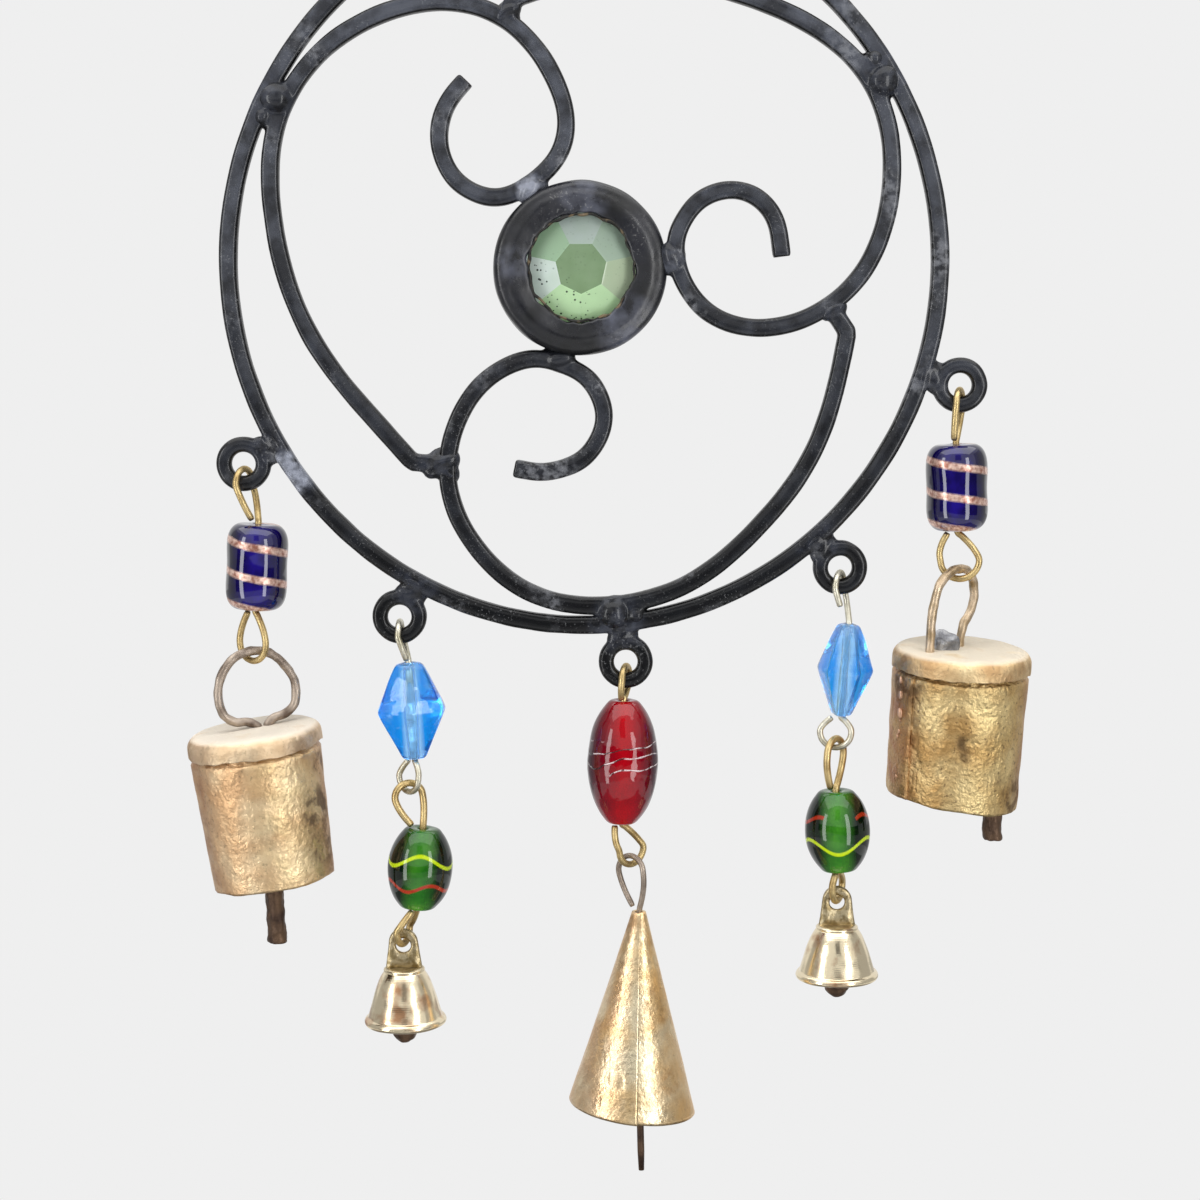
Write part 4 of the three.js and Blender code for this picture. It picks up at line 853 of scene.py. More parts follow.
def make_ring(sizes):
    """Square bar bent to an oval hoop, melted to its half of every weld: cosine times the half width, sine times
    the half height."""
    turn, half = full_turn(480), sizes.bar / 2
    path = np.stack([(sizes.ring_half_width - half) * np.cos(turn), 0 * turn,
                     RING_Z + (sizes.ring_half_height - half) * np.sin(turn)], -1)
    shells = [closed_bar(path, SIDEWAYS, soft_square(sizes.bar, BAR_CORNERS, 32))]
    welds = []
    for scroll in SCROLLS.values():
        shells += ring_weld_lumps(sizes, scroll["ring_weld"], 0.35)
        reach = ring_reach(sizes, scroll["ring_weld"], half)
        welds.append((from_centre(scroll["ring_weld"], reach, BEZEL), 5.0, 0.8))
    for name, angle in EYELETS.items():
        shells += eyelet_weld_lumps(sizes, angle, 0.3)
        reach = eyelet_centre(sizes, angle)[1] - 1
        welds.append((from_centre(angle, reach, RING_CENTRE), 4.5, 0.6))
        if name == "eyelet_1":
            # Pale flux beside this weld
            welds.append((from_centre(angle + 5, reach, RING_CENTRE), 5.0, 1.5))
    add_piece("ring_bar", fused(shells, 0.4, 5), "frame", "black_iron", "black_iron", ["outer_ring"],
              spots=welds, uneven=[(sizes.hammering, 9, 1)])


def make_scroll(sizes, name):
    """Square bar along a scroll's line, with weld lumps where it meets bezel, ring and neighbour, all melted."""
    scroll, path = SCROLLS[name], scroll_line(sizes, name)
    neighbour = scroll_line(sizes, scroll["ends_on"])
    seat = neighbour[np.argmin(np.linalg.norm(neighbour - path[-1], axis=1))]
    path = np.vstack([path, path[-1] + unit(seat - path[-1]) * (np.linalg.norm(seat - path[-1]) - sizes.bar * 0.6)])
    half, wide = sizes.bar / 2, scroll["end_weld"]
    on_bezel = from_centre(scroll["bezel_weld"], sizes.bezel_radius + 1.0, BEZEL)
    on_ring = from_centre(scroll["ring_weld"], ring_reach(sizes, scroll["ring_weld"], sizes.bar + 0.2), BEZEL)
    on_end = path[-1] * 0.6 + seat * 0.4
    shells = [skin(carried(path, SIDEWAYS, soft_square(sizes.bar, BAR_CORNERS, 24)))]
    shells += ring_weld_lumps(sizes, scroll["ring_weld"]) + [
        lump(on_bezel, (half + 0.9, half + 0.6, 3.6), scroll["bezel_weld"], 3, 0.1),
        lump(on_end, (wide * 0.95, half + 0.6, wide * 0.8), 20, 6, 0.12),
        lump(on_end + (wide * 0.35, 0, -wide * 0.45), (wide * 0.6, half + 0.2, wide * 0.55), 0, 7, 0.12)]
    welds = [(on_bezel, 3.6, scroll["bezel_grey"]), (on_ring, 4.4, 0.7), (on_end, wide, 0.7)]
    add_piece(f"{name}_bar", fused(shells, 0.42, 5), "frame", "black_iron", "black_iron", [name],
              spots=welds, uneven=[(sizes.hammering, 9, 2)])


def eyelet_centre(sizes, angle):
    """Centre of an eyelet that stands outside the ring, and how far the ring reaches there."""
    reach = reach_to_oval(angle, sizes.ring_half_width, sizes.ring_half_height, (0, 0))
    stand = EYELET["middle"] + EYELET["section"] + EYELET["stand_off"]
    return from_centre(angle, reach + stand, RING_CENTRE), reach


def make_eyelet(sizes, name, angle):
    """A thick washer and the weld that holds it to the ring, melted into one. The washer is a little thinner than
    the CAD's, to leave the wires room."""
    centre, reach = eyelet_centre(sizes, angle)
    section = soft_square(EYELET["section"] * 2 - EYELET["spare"], 2.8, 24)
    washer = round_eye(centre, EYELET["middle"], SIDEWAYS, section, full_turn(96))
    neck = from_centre(angle, reach + 0.5, RING_CENTRE)
    add_piece(f"{name}_iron", fused([washer] + eyelet_weld_lumps(sizes, angle), 0.3, 4), "frame", "black_iron",
              "black_iron", [name], spots=[(neck, 4.0, 0.6)], uneven=[(sizes.hammering, 5, 5)])


def bezel_turn():
    """The centre disc faces a little up and to its right."""
    return about_z(5) @ about_x(88)


def make_bezel(sizes):
    """Pressed disc with a crowned front, a side wall and a ragged hole: a closed profile turned round its axis.
    Inside it lie the glass's setting and the back ring."""
    outside, hole, sheet = sizes.bezel_radius, sizes.aperture, 1.1
    back, rim, crest = -2.7, 2.7, 4.0
    lip, inside = (outside + hole) / 2, outside - sheet
    front = profile_curve([[outside, back], [outside, 0], [outside, rim - 1.0], [outside - 0.7, rim + 0.2],
                           [outside - 2.0, crest - 0.55], [lip, crest], [hole + 1.5, crest - 0.15],
                           [hole + 0.3, crest - 0.4], [hole, crest - 0.8], [hole, crest - 1.5]], 6)
    inner = profile_curve([[hole + 0.3, crest - 1.6], [lip, crest - sheet], [inside - 1, rim - 0.8],
                           [inside, rim - 2], [inside, back]], 6)
    disc = turned(np.vstack([front, inner]), 128)
    radius, level = np.hypot(disc[..., 0], disc[..., 1])[..., None], disc * (1, 1, 0)
    near_hole = np.clip(1 - (radius - hole) / 1.6, 0, 1)
    ragged = waves(level, 5.5, 21)[..., None] * 0.22 + waves(level, 2.1, 22)[..., None] * 0.1
    disc[..., :2] *= 1 - near_hole * ragged / radius
    setting = turned(circle(0.34, 10) + (hole - 0.1, crest - 0.75), 160)
    setting += 0.16 * np.stack([waves(setting * (1, 1, 0), size, seed)
                                for size, seed in ((4.0, 24), (3.0, 25), (3.5, 26))], -1)
    washer = turned([[hole, back], [inside - CLEAR, back], [inside - CLEAR, back + sheet], [hole, back + sheet]], 96)
    # Painted reflections: the spots where the disc is painted with soft bluish reflections
    painted_reflections = [(BEZEL + place, reach, 1.0)
             for place, reach in (((-14.5, -4, 1), 3.2), ((1, -4, 15), 4.0), ((10.5, -4, -13), 5.5))]
    for name, grid, coat, replaced, more in (
            ("bezel_disc", disc, "black_disc", ["bezel_front"], dict(uneven=[(0.05, 12, 23)], spots=painted_reflections)),
            ("gem_setting", setting, "gilt", [], {}),
            ("bezel_washer", washer, "black_disc", ["bezel_back"], dict(flat=True))):
        add_shells(name, [placed(skin(grid, looped=True), BEZEL, bezel_turn())], "frame", "black_iron", coat,
                   replaced, **more)


def make_gem():
    """Cut glass: a seven-sided table with a thin bevel, seven large facets and a girdle, each facet with a tint."""
    top, girdle, back, wide = 2.45, 0.35, -1.3, 13.2
    seven = np.arange(7) / 7 * 2 * np.pi + 0.225
    halves = seven + np.pi / 7
    rows = ((seven, 5.7, top), (seven, 6.0, 2.37), (seven, wide, girdle), (halves, wide, girdle),
            (seven, wide, back), (halves, wide, back))
    points = np.vstack([np.stack([radius * np.cos(angles), radius * np.sin(angles), np.full(7, height)], -1)
                        for angles, radius, height in rows] + [[[0, 0, top], [0, 0, back]]])
    i = np.arange(7)
    j = (i + 1) % 7
    middle, under = np.full(7, 42), np.full(7, 43)
    tris = np.vstack([np.stack(corners, -1) for corners in (
        (middle, i, j), (i, 7 + i, j), (j, 7 + i, 7 + j), (7 + i, 14 + i, 7 + j), (7 + j, 14 + i, 14 + j),
        (14 + i, 21 + i, 14 + j), (14 + i, 28 + i, 21 + i), (21 + i, 28 + i, 35 + i), (21 + i, 35 + i, 14 + j),
        (14 + j, 35 + i, 28 + j), (under, 35 + i, 28 + i), (under, 28 + j, 35 + i))])
    # Painted reflections: one tint for each facet, and a darker one for the table, for the sky that each mirrors and
    # passes
    facets = np.array([linear(tint) for tint in
                       ("#95A898", "#A4B1AC", "#8EAC8E", "#C8D5CF", "#B2D4A4", "#B2D4A4", "#A9B89C")])
    tints = np.vstack([np.tile(linear("#68825C"), (7, 1)), np.tile(facets * 1.05, (2, 1)), np.tile(facets, (9, 1))])
    mesh = to_mesh("gem", *outward(points @ bezel_turn().T + BEZEL, np.zeros((0, 4), int), tris))
    tint = mesh.attributes.new("tint", "FLOAT_COLOR", "CORNER")
    tint.data.foreach_set("color", np.repeat(np.clip(tints, 0, 1), 3, axis=0).astype(np.float32).ravel())
    add_piece("cut_glass_centre", mesh, "frame", "gem_glass", "gem", ["centre_gem"], local=(BEZEL, bezel_turn()),
              flat=True)


# Strands

def eye_points(stem, centre, radius, yaw, side, stem_side, wire, stop=0.14):
    """One eye of a bent wire: a leg from the stem, a half circle, and a leg that stops short of the stem."""
    u, base = across(yaw), stem - across(yaw) * stem_side
    free = stem_side - wire - HANG_GAP
    shares = np.array([[0.14], [0.4], [0.7]])
    ends = np.array([[stop], [max(0.4, stop + 0.15)], [0.75]])
    first = base + (centre - base) * shares + u * (stem_side + (radius - stem_side) * np.sin(shares * np.pi / 2))
    last = base + (centre - base) * ends + u * (free + (-radius - free) * np.sin(ends * np.pi / 2))
    turn = np.radians(np.arange(0, 181, 30))[:, None]
    arc = centre + u * radius * np.cos(turn) + np.array([0, 0, side * radius]) * np.sin(turn)
    return np.vstack([first, arc, last[::-1]])


def wire_shell(path, normals, diameter, per_span=5):
    """Round wire along a path, its ends cut and slightly rounded."""
    line = spline(path, per_span)
    steps = np.linspace(0, len(normals) - 1, len(line))
    beside = np.stack([np.interp(steps, np.arange(len(normals)), part) for part in np.transpose(normals)], -1)
    grow = np.ones(len(line))
    grow[[0, -1]] = 0.8
    return skin(carried(line, beside, circle(diameter / 2, 14), grow=grow))


def make_link(name):
    """A bent wire: an eye, the stem through its bead and a second eye, in planes of their own."""
    link = LINKS[name]
    pivot, below = joint_at(f"{link['swing']}_swing"), joint_at(f"{link['below']}_swing")
    middle, axis = joint_at(f"{link['bead']}_spin"), unit(spin_axis(link["bead"]))
    half = bead_size(link["bead"])["length"] / 2 + CLEAR
    stem_top, stem_foot = middle + axis * half, middle - axis * half
    (radius, yaw, stem_side), (foot_radius, foot_yaw), wire = link["top"], link["foot"], link["wire"]
    crown = link.get("hold", EYELET_CORNER) + HANG_GAP + wire / 2
    top = eye_points(stem_top, pivot + (0, 0, crown - radius), radius, yaw, 1, stem_side, wire,
                     link.get("stop", 0.08))[::-1]
    foot = eye_points(stem_foot, below + (0, 0, foot_radius), foot_radius, foot_yaw, -1, (wire + HANG_GAP) / 2, wire,
                      0.04)
    path = np.vstack([top, stem_top, stem_foot, foot])
    top_normal, foot_normal = across(yaw + 90), across(foot_yaw + 90)
    if top_normal @ foot_normal < 0:
        foot_normal = -foot_normal
    share = np.clip(np.arange(len(path)) - len(top), 0, 1)[:, None]
    normals = unit(top_normal * (1 - share) + foot_normal * share)
    slot = "pale_wire" if name.startswith("upper") else "brass_wire"
    add_shells(f"{name}_bent", [wire_shell(path, normals, wire)], link["swing"], slot, slot, [name])


def spin_axis(bead):
    """The axis that a bead turns about."""
    return np.array(JOINTS[f"{bead}_spin"]["axis"])


def bead_size(name):
    """A bead's sizes; the azure bead of strand 4 is shorter than the other."""
    return BEADS["short_azure" if name == "azure_bead_4" else name.split("_")[0]]


def bead_profile(name, bore):
    """A bead's outline, [radius, height], from its lower bore edge round the outside and back up the bore."""
    size, kind = bead_size(name), name.split("_")[0]
    half, end, wide = size["length"] / 2, size["end"], size["half"]
    if kind == "cobalt":
        r = wide - end
        outline = [[end * 0.6, -half + 0.1], [end, -half + 0.25], [wide - 0.4 * r, -half + 0.6 * r],
                   [wide - 0.03, -half + 1.6 * r], [wide, 0], [wide - 0.03, half - 1.6 * r],
                   [wide - 0.4 * r, half - 0.6 * r], [end, half - 0.25], [end * 0.6, half - 0.1]]
    elif kind == "azure":
        outline = [[end * 0.7, -half + 0.1], [end * 1.02, -half + 0.5], [end * 1.4, -half * 0.79],
                   [wide * 0.62, -half * 0.57], [wide * 0.79, -half * 0.33], [wide * 0.94, -half * 0.11],
                   [wide, half * 0.02], [wide * 0.94, half * 0.14], [wide * 0.8, half * 0.37],
                   [wide * 0.66, half * 0.6], [end * 1.55, half * 0.8], [end * 1.15, half - 0.5],
                   [end * 0.7, half - 0.1]]
    else:
        first = math.acos(end / wide)
        turn = np.linspace(-first, first, 13)
        outline = np.stack([wide * np.cos(turn), half * np.sin(turn) / math.sin(first)], -1).tolist()
    rims = [[bore, -half + 0.15], [bore + 0.25, -half]], [[bore + 0.25, half], [bore, half - 0.15]]
    line = profile_curve(rims[0] + outline + rims[1], 5)
    return np.vstack([line, [[bore, half / 2], [bore, 0], [bore, -half / 2]]])


def make_bead(name, wire, flip=False, turned_by=0.0):
    """A glass bead turned about its own axis and slightly uneven, as lamp work is. An azure one is pressed, so its
    radius is divided by the cosine of the angle from the nearest of six facets."""
    kind, size, axis, cols = name.split("_")[0], bead_size(name), spin_axis(name), 72
    centre, lean = joint_at(f"{name}_spin"), about_y(-math.degrees(math.atan2(axis[0], axis[2])))
    grid = turned(bead_profile(name, wire / 2 + 0.4), cols, size["depth"] / size["half"])
    if kind == "azure":
        facet = np.mod(full_turn(cols) + np.pi / 6, np.pi / 3) - np.pi / 6
        grid[..., :2] *= (0.3 + 0.7 * math.cos(math.pi / 6) / np.cos(facet) / 0.94)[None, :, None]
    own_turn = lean @ (about_y(180) @ about_z(-120) if flip else np.eye(3))
    add_shells(f"{name}_glass", [placed(skin(grid, looped=True), centre, lean @ about_z(turned_by))], name,
               f"{kind}_glass", kind, [name], local=(centre, own_turn), uneven=[(0.03, 9, 31)])


def bell_turn(bell):
    """A bell leans in the ring's plane by its tilt, and its mouth to the back by its nod."""
    return about_y(bell["tilt"]) @ about_x(bell["nod"])


def bell_point(number, point):
    """Where a point of a cow bell's own frame is."""
    return bell_turn(COW_BELLS[number]) @ np.array(point) + joint_at(f"cow_bell_{number}_swing")


def add_to_bell(number, name, shells, slot, coat, replaced=(), **more):
    """A piece of a cow bell, from surfaces in the bell's own frame."""
    origin, turn = joint_at(f"cow_bell_{number}_swing"), bell_turn(COW_BELLS[number])
    add_shells(name, [placed(shell, origin, turn) for shell in shells], f"cow_bell_{number}", slot, coat, replaced,
               **more)


def bell_axis(number):
    """A point on the axis of the bell's shell, and the shell's turn."""
    bell = COW_BELLS[number]
    return bell_point(number, [bell["shift"], 0, 0]), bell_turn(bell)


def shell_radius(bell, z):
    """Outside of the rolled sheet at a height: narrower inside the cap, then straight down to the mouth."""
    skirt = -bell["drop"] - bell["cap_high"] - CLEAR
    inside = bell["cap"] - SHEET - CLEAR
    return np.interp(z, [-bell["drop"] - bell["height"], skirt - SHEET, skirt, skirt + 1],
                     [bell["mouth"], bell["cap"] - 0.15, inside, inside])


def rim_slant(bell, x, z):
    """How far the slanted rim lowers a point: more to one side and towards the mouth."""
    top = -bell["drop"] - TUCK
    return x * math.tan(math.radians(bell["slant"])) * (z - top) / (-bell["height"] + TUCK)


def make_cow_loop(number):
    """Thick wire from one leg over the top to the other, and down to an inner hook."""
    bell = COW_BELLS[number]
    u, v, cap = across(bell["yaw"]), across(bell["hook_yaw"]), -bell["drop"]
    top = LINKS[f"link_wire_{number}"]["wire"] / 2 + HANG_GAP + bell["wire"] / 2
    rest = cap + bell["wire"] / 2 + HANG_GAP
    over = np.array([u * share * bell["half"] + (0, 0, rest + up * (top - rest)) for share, up in bell["loop"]])
    left, right = bell["legs"]
    under = cap - SHEET
    clench = [u * left + (0, 0, under - 1.6), u * left + (0, 0, cap + 0.2)]
    down = [u * right + (0, 0, cap + 0.2), u * right + (0, 0, under - 0.9)]
    radius, centre = HOOK["radius"], np.array([bell["hook_x"], 0, cap - HOOK["drop"] + HOOK["radius"]])
    start, leg = centre + v * radius, u * right + (0, 0, under - 1.8)
    lead = [leg * 0.8 + start * 0.2, leg * 0.2 + start * 0.8] if np.linalg.norm(leg - start) > 5.4 else []
    turn = np.radians(-np.arange(0, 181, 30))[:, None]
    hook = centre + v * radius * np.cos(turn) + np.array([0, 0, radius]) * np.sin(turn)
    path = np.vstack([clench, over, down] + ([lead] if lead else []) + [hook])
    normals = np.tile(across(bell["yaw"] + 90), (len(path), 1))
    hooked = across(bell["hook_yaw"] + 90)
    normals[-len(hook):] = hooked if hooked @ normals[0] > 0 else -hooked
    add_to_bell(number, f"bell_loop_{number}_bent", [wire_shell(path, normals, bell["wire"], 6)], "iron_wire",
                bell["loop_finish"], [f"bell_loop_{number}"], uneven=[(0.06, 3, 41)])


def make_cap(number):
    """Sheet cap: a flat top rounded over into a short skirt whose lower edge is ragged."""
    bell = COW_BELLS[number]
    radius, top, high = bell["cap"], -bell["drop"], bell["cap_high"]
    outer = profile_curve([[0.4, top], [radius * 0.5, top], [radius - 2.6, top - 0.15], [radius - 1.0, top - 0.7],
                           [radius - 0.15, top - 1.9], [radius, top - 3.2], [radius, top - high]], 8)
    inner = profile_curve([[radius - 0.5, top - high], [radius - SHEET, top - high + 0.3],
                           [radius - SHEET, top - 2.6], [radius - 1.7, top - 1.6], [radius - 3, top - SHEET],
                           [0.4, top - SHEET]], 8)
    grid = turned(np.vstack([outer, inner]), 128)
    skirt = np.clip((top - 2.2 - grid[..., 2]) / (high - 2.2), 0, 1)
    rim = grid * (1, 1, 0)
    grid[..., 2] += skirt * (0.2 * waves(rim, 17, 51 + number) + 0.1 * waves(rim, 4, 52 + number))
    dome = np.clip(1 - np.hypot(grid[..., 0], grid[..., 1]) / (radius - 2), 0, 1)
    grid[..., 2] += 0.1 * dome * waves(rim, 14, 53 + number)
    # Painted shade: darker patches at the cap's left and right sides
    painted_sides = [(bell_point(number, centre), 4.0, 0.6)
              for centre in ((bell["shift"] - radius, -4, top - 3), (bell["shift"] + radius - 2, -8, top - 4))]
    add_to_bell(number, f"bell_cap_{number}_sheet", [placed(skin(grid), (bell["shift"], 0, 0))], "brazed_sheet",
                bell["cap_finish"], [f"bell_cap_{number}"], spots=painted_sides, local=bell_axis(number),
                uneven=[(0.04, 9, 54 + number)])


def make_shell(sizes, number):
    """Rolled sheet: the radius grows by half a thickness over a full turn and a bit, so that one edge laps over
    the other. Dents are waves along the normals. Drops of braze stand along the seam."""
    bell = COW_BELLS[number]
    top, mouth, seam = -bell["drop"] - TUCK, -bell["drop"] - bell["height"], math.radians(bell["seam"])
    down, turn = np.linspace(0, 1, 60)[:, None], np.linspace(0, 1.04, 150)[None]
    angle = 2 * np.pi * turn + seam
    height = top + (mouth - top) * down + 0 * turn
    radius = shell_radius(bell, height) - SHEET * 0.5 * (1 - turn)
    edge = (0.15 * np.sin(angle * 3 + 1) + 0.1 * np.sin(angle * 7)) * down ** 6

    def face(offset):
        r = radius - offset
        x, y = r * np.cos(angle), r * np.sin(angle)
        return np.stack([x + bell["shift"], y, height + edge - rim_slant(bell, x, height)], -1)

    shell = skin(np.vstack([face(0.0), face(SHEET * 0.85)[::-1]]), open_sides=True)
    burns = [(bell_point(number, place), reach, 1.0) for *place, reach in bell["burns"]]
    add_to_bell(number, f"bell_shell_{number}_sheet", [shell], "brazed_sheet", bell["finish"],
                [f"bell_shell_{number}"], spots=burns, local=bell_axis(number),
                uneven=[(sizes.denting, 9, 61 + number), (sizes.denting / 3, 3, 62)])
    rng = np.random.default_rng(63 + number)
    drops = []
    for z in rng.uniform(mouth + 1, -bell["drop"] - bell["cap_high"] - 1.5, bell["drops"]):
        r, beside = shell_radius(bell, z) - 0.1, seam + rng.normal(0, 0.02)
        x, y = r * math.cos(beside), r * math.sin(beside)
        size = rng.uniform(0.25, 0.75)
        spot = np.array([x + bell["shift"], y, z - rim_slant(bell, x, z)])
        drops.append(lump(spot, (size, size, size * 1.7), 0, 64))
    if drops:
        add_to_bell(number, f"braze_drops_{number}", drops, "brazed_sheet", "copper_drops")


def make_solder_lump():
    """Solder between the loop's legs: an uneven blob on the cap."""
    bell = COW_BELLS[5]
    middle = across(bell["yaw"]) * sum(bell["legs"]) / 2 + (0, 0, -bell["drop"] + 1.1)
    add_to_bell(5, "solder_lump_5_blob", [lump(middle, (3.0, 2.4, 3.0), 0, 71, 0.12)], "solder", "solder",
                ["solder_lump_5"])


def rod_shells(reach, top, tip, hole_z):
    """A pierced plate and a rod from it, that widens and flattens towards its foot."""
    hole, wall, thick = CLAPPER_EYE["hole"], CLAPPER_EYE["wall"], CLAPPER_EYE["thick"]
    eye = round_eye(np.array([0, 0, hole_z]), hole + wall / 2, (1, 0, 0), soft_square(1.0, 4, 16) * (thick, wall),
                    full_turn(64))
    neck = hole_z - hole - 0.6
    line = spline([[0, 0, z] for z in (neck, neck - 2.5, neck - 7, -reach * 0.6, -reach + 3, -reach)], 8)
    share, places = np.linspace(0, 1, len(line)), [0, 0.2, 0.45, 1]
    width = np.interp(share, places, [1.9, top / 2, top / 2, tip / 2])
    depth = np.interp(share, places, [0.9, top / 2 * 0.9, top / 2 * 0.9, tip / 2 * 0.78])
    section = circle(1.0, 24)[None] * np.stack([width, depth], -1)[:, None]
    return [eye, skin(carried(line, SIDEWAYS, section))]


def make_clapper(number):
    """Forged clapper of a cow bell: its eye round the hook, its rod through the mouth."""
    bell, body = COW_BELLS[number], f"clapper_{number}"
    hole_z = bell["wire"] / 2 + HANG_GAP + CLEAR - CLAPPER_EYE["hole"]
    mesh = fused(rod_shells(bell["reach"], bell["rod_top"], bell["rod_tip"], hole_z), 0.28, 4)
    points, _ = read_points(mesh)
    points = points @ about_z(bell["hook_yaw"]).T @ about_y(bell["lean"]).T + joint_at(f"{body}_swing")
    mesh.vertices.foreach_set("co", points.astype(np.float32).ravel())
    mesh.update()
    add_piece(f"{body}_forged", mesh, body, "clapper_iron", "clapper_iron", [body],
              uneven=[(0.1, 5, 72), (0.05, 1.8, 73)])


def make_cone():
    """Rolled cone: a sheet that laps over itself by a few degrees, pinched round its hanger at the apex, its rim
    cut at a slant, with a shallow stamped dent."""
    down, turn = np.linspace(0, 1, 60)[:, None], np.linspace(0, 1.03, 150)[None]
    angle = 2 * np.pi * turn - math.radians(97)
    radius = CONE["apex"] + (CONE["mouth"] - CONE["apex"]) * down - CONE["sheet"] * 0.8 * (1 - turn)
    z = -CONE["height"] * down
    origin, tilted = joint_at("cone_bell_3_swing"), about_y(CONE["tilt"])

    def face(offset):
        r = radius - offset
        x, y = r * np.cos(angle), r * np.sin(angle)
        away = np.hypot(x - DENT["x"], z - DENT["z"])
        dent = DENT["depth"] * np.exp(-((away - DENT["radius"]) / DENT["width"]) ** 2) * (y < 0)
        x, y = x * (1 - dent / np.maximum(r, 1)), y * (1 - dent / np.maximum(r, 1))
        slanted = z - x * math.tan(math.radians(CONE["slant"])) * down
        return np.stack([x + CONE["shift"], y, slanted - CONE["apex_drop"]], -1)

    shell = skin(np.vstack([face(0.0), face(CONE["sheet"] * 0.8)[::-1]]), open_sides=True)
    burns = [(tilted @ np.array(centre) + origin, 2.5, 0.8) for centre in ((10, -8, -48), (0, -2, -14))]
    add_shells("cone_bell_3_sheet", [placed(shell, origin, tilted)], "cone_bell_3", "brazed_sheet", "brazed_cone",
               ["cone_bell_3"], spots=burns, uneven=[(0.02, 9, 81)],
               local=(tilted @ np.array([CONE["shift"], 0, 0]) + origin, tilted))


def make_cone_hanger():
    """Thin wire: an eye above the cone, a straight run through the apex and a small hook inside."""
    wire, radius, shift = CONE["wire"], CONE["radius"], CONE["shift"]
    crown = LINKS["link_wire_3"]["wire"] / 2 + HANG_GAP + wire / 2
    stem = np.array([shift, 0, -CONE["apex_drop"] + 0.6])
    eye = eye_points(stem, np.array([0, 0, crown - radius]), radius, CONE["yaw"], 1, CONE["side"], wire, 0.03)
    hook = np.array([shift, 0, -CONE["apex_drop"] - CONE["hook_depth"]])
    turn = np.radians(-np.arange(0, 211, 30))[:, None]
    bend = hook + CONE["hook"] * np.hstack([np.cos(turn), 0 * turn, np.sin(turn)])
    path = np.vstack([eye[::-1], stem, (shift, 0, hook[2] + 3.6), bend])
    normals = np.tile(across(CONE["yaw"] + 90), (len(path), 1))
    normals[-len(bend) - 1:] = SIDEWAYS
    shell = placed(wire_shell(path, normals, wire), joint_at("cone_bell_3_swing"), about_y(CONE["tilt"]))
    add_shells("cone_hanger_3_bent", [shell], "cone_bell_3", "iron_wire", "iron_wire", ["cone_hanger_3"])


def make_cone_clapper():
    """Straight wire with an eye bent at its top."""
    wire, radius, reach = CONE["rod"], CONE["eye"], CONE["reach"]
    centre = CONE["wire"] / 2 + HANG_GAP + 0.2 + wire / 2 - radius
    turn = np.radians(np.arange(-40, 241, 28))[:, None]
    eye = np.hstack([0 * turn, -radius * np.cos(turn), centre + radius * np.sin(turn)])
    path = np.vstack([eye, [(0, radius * 0.15, centre - radius * 1.5), (0, 0, centre - radius * 2.2),
                            (0, 0, -reach / 2), (0, 0, -reach)]])
    normals = np.tile((1.0, 0, 0), (len(path), 1))
    shell = placed(wire_shell(path, normals, wire), joint_at("clapper_3_swing"), about_y(CONE["lean"]))
    add_shells("clapper_3_wire", [shell], "clapper_3", "clapper_iron", "clapper_iron", ["clapper_3"])


def tab_shell(bell, crown):
    """Pierced tab: an arc over two straight sides, filed flat. Its outline's distance from the hole is looked up by
    angle, and four pairs of rings round the hole make its softened faces."""
    hole_z = bell["wire"] / 2 + HANG_GAP + 0.2 - CAST["hole"]
    arc, top_half = np.linspace(0.1, np.pi - 0.1, 20)[:, None], CAST["tab_top_half"]
    over = np.hstack([top_half * np.cos(arc), bell["tab_top"] - top_half + top_half * np.sin(arc)])
    side, corner = np.linspace(0, 1, 20, endpoint=False)[:, None], np.array([CAST["tab_half"], crown - 0.5])
    far_corner = corner * (-1, 1)
    edge = np.vstack([corner + (over[0] - corner) * side, over, over[-1] + (far_corner - over[-1]) * side,
                      np.linspace(far_corner, corner, 30)[:-1]]) - (0, hole_z)
    turn = np.linspace(-np.pi, np.pi, 96, endpoint=False)
    outline = sorted(zip(np.arctan2(edge[:, 1], edge[:, 0]), np.hypot(*edge.T)))
    far = np.interp(turn, *zip(*outline), period=2 * np.pi)
    thick, soft, bore = CAST["tab_thick"] / 2, 0.3, CAST["bore"]
    rows = [(bore + soft, -thick), (bore, soft - thick), (bore, thick - soft), (bore + soft, thick),
            (far - soft, thick), (far, thick - soft), (far, soft - thick), (far - soft, -thick)]
    return skin(np.stack([np.stack([r * np.cos(turn), np.full_like(turn, y), hole_z + r * np.sin(turn)], -1)
                          for r, y in rows]), looped=True)


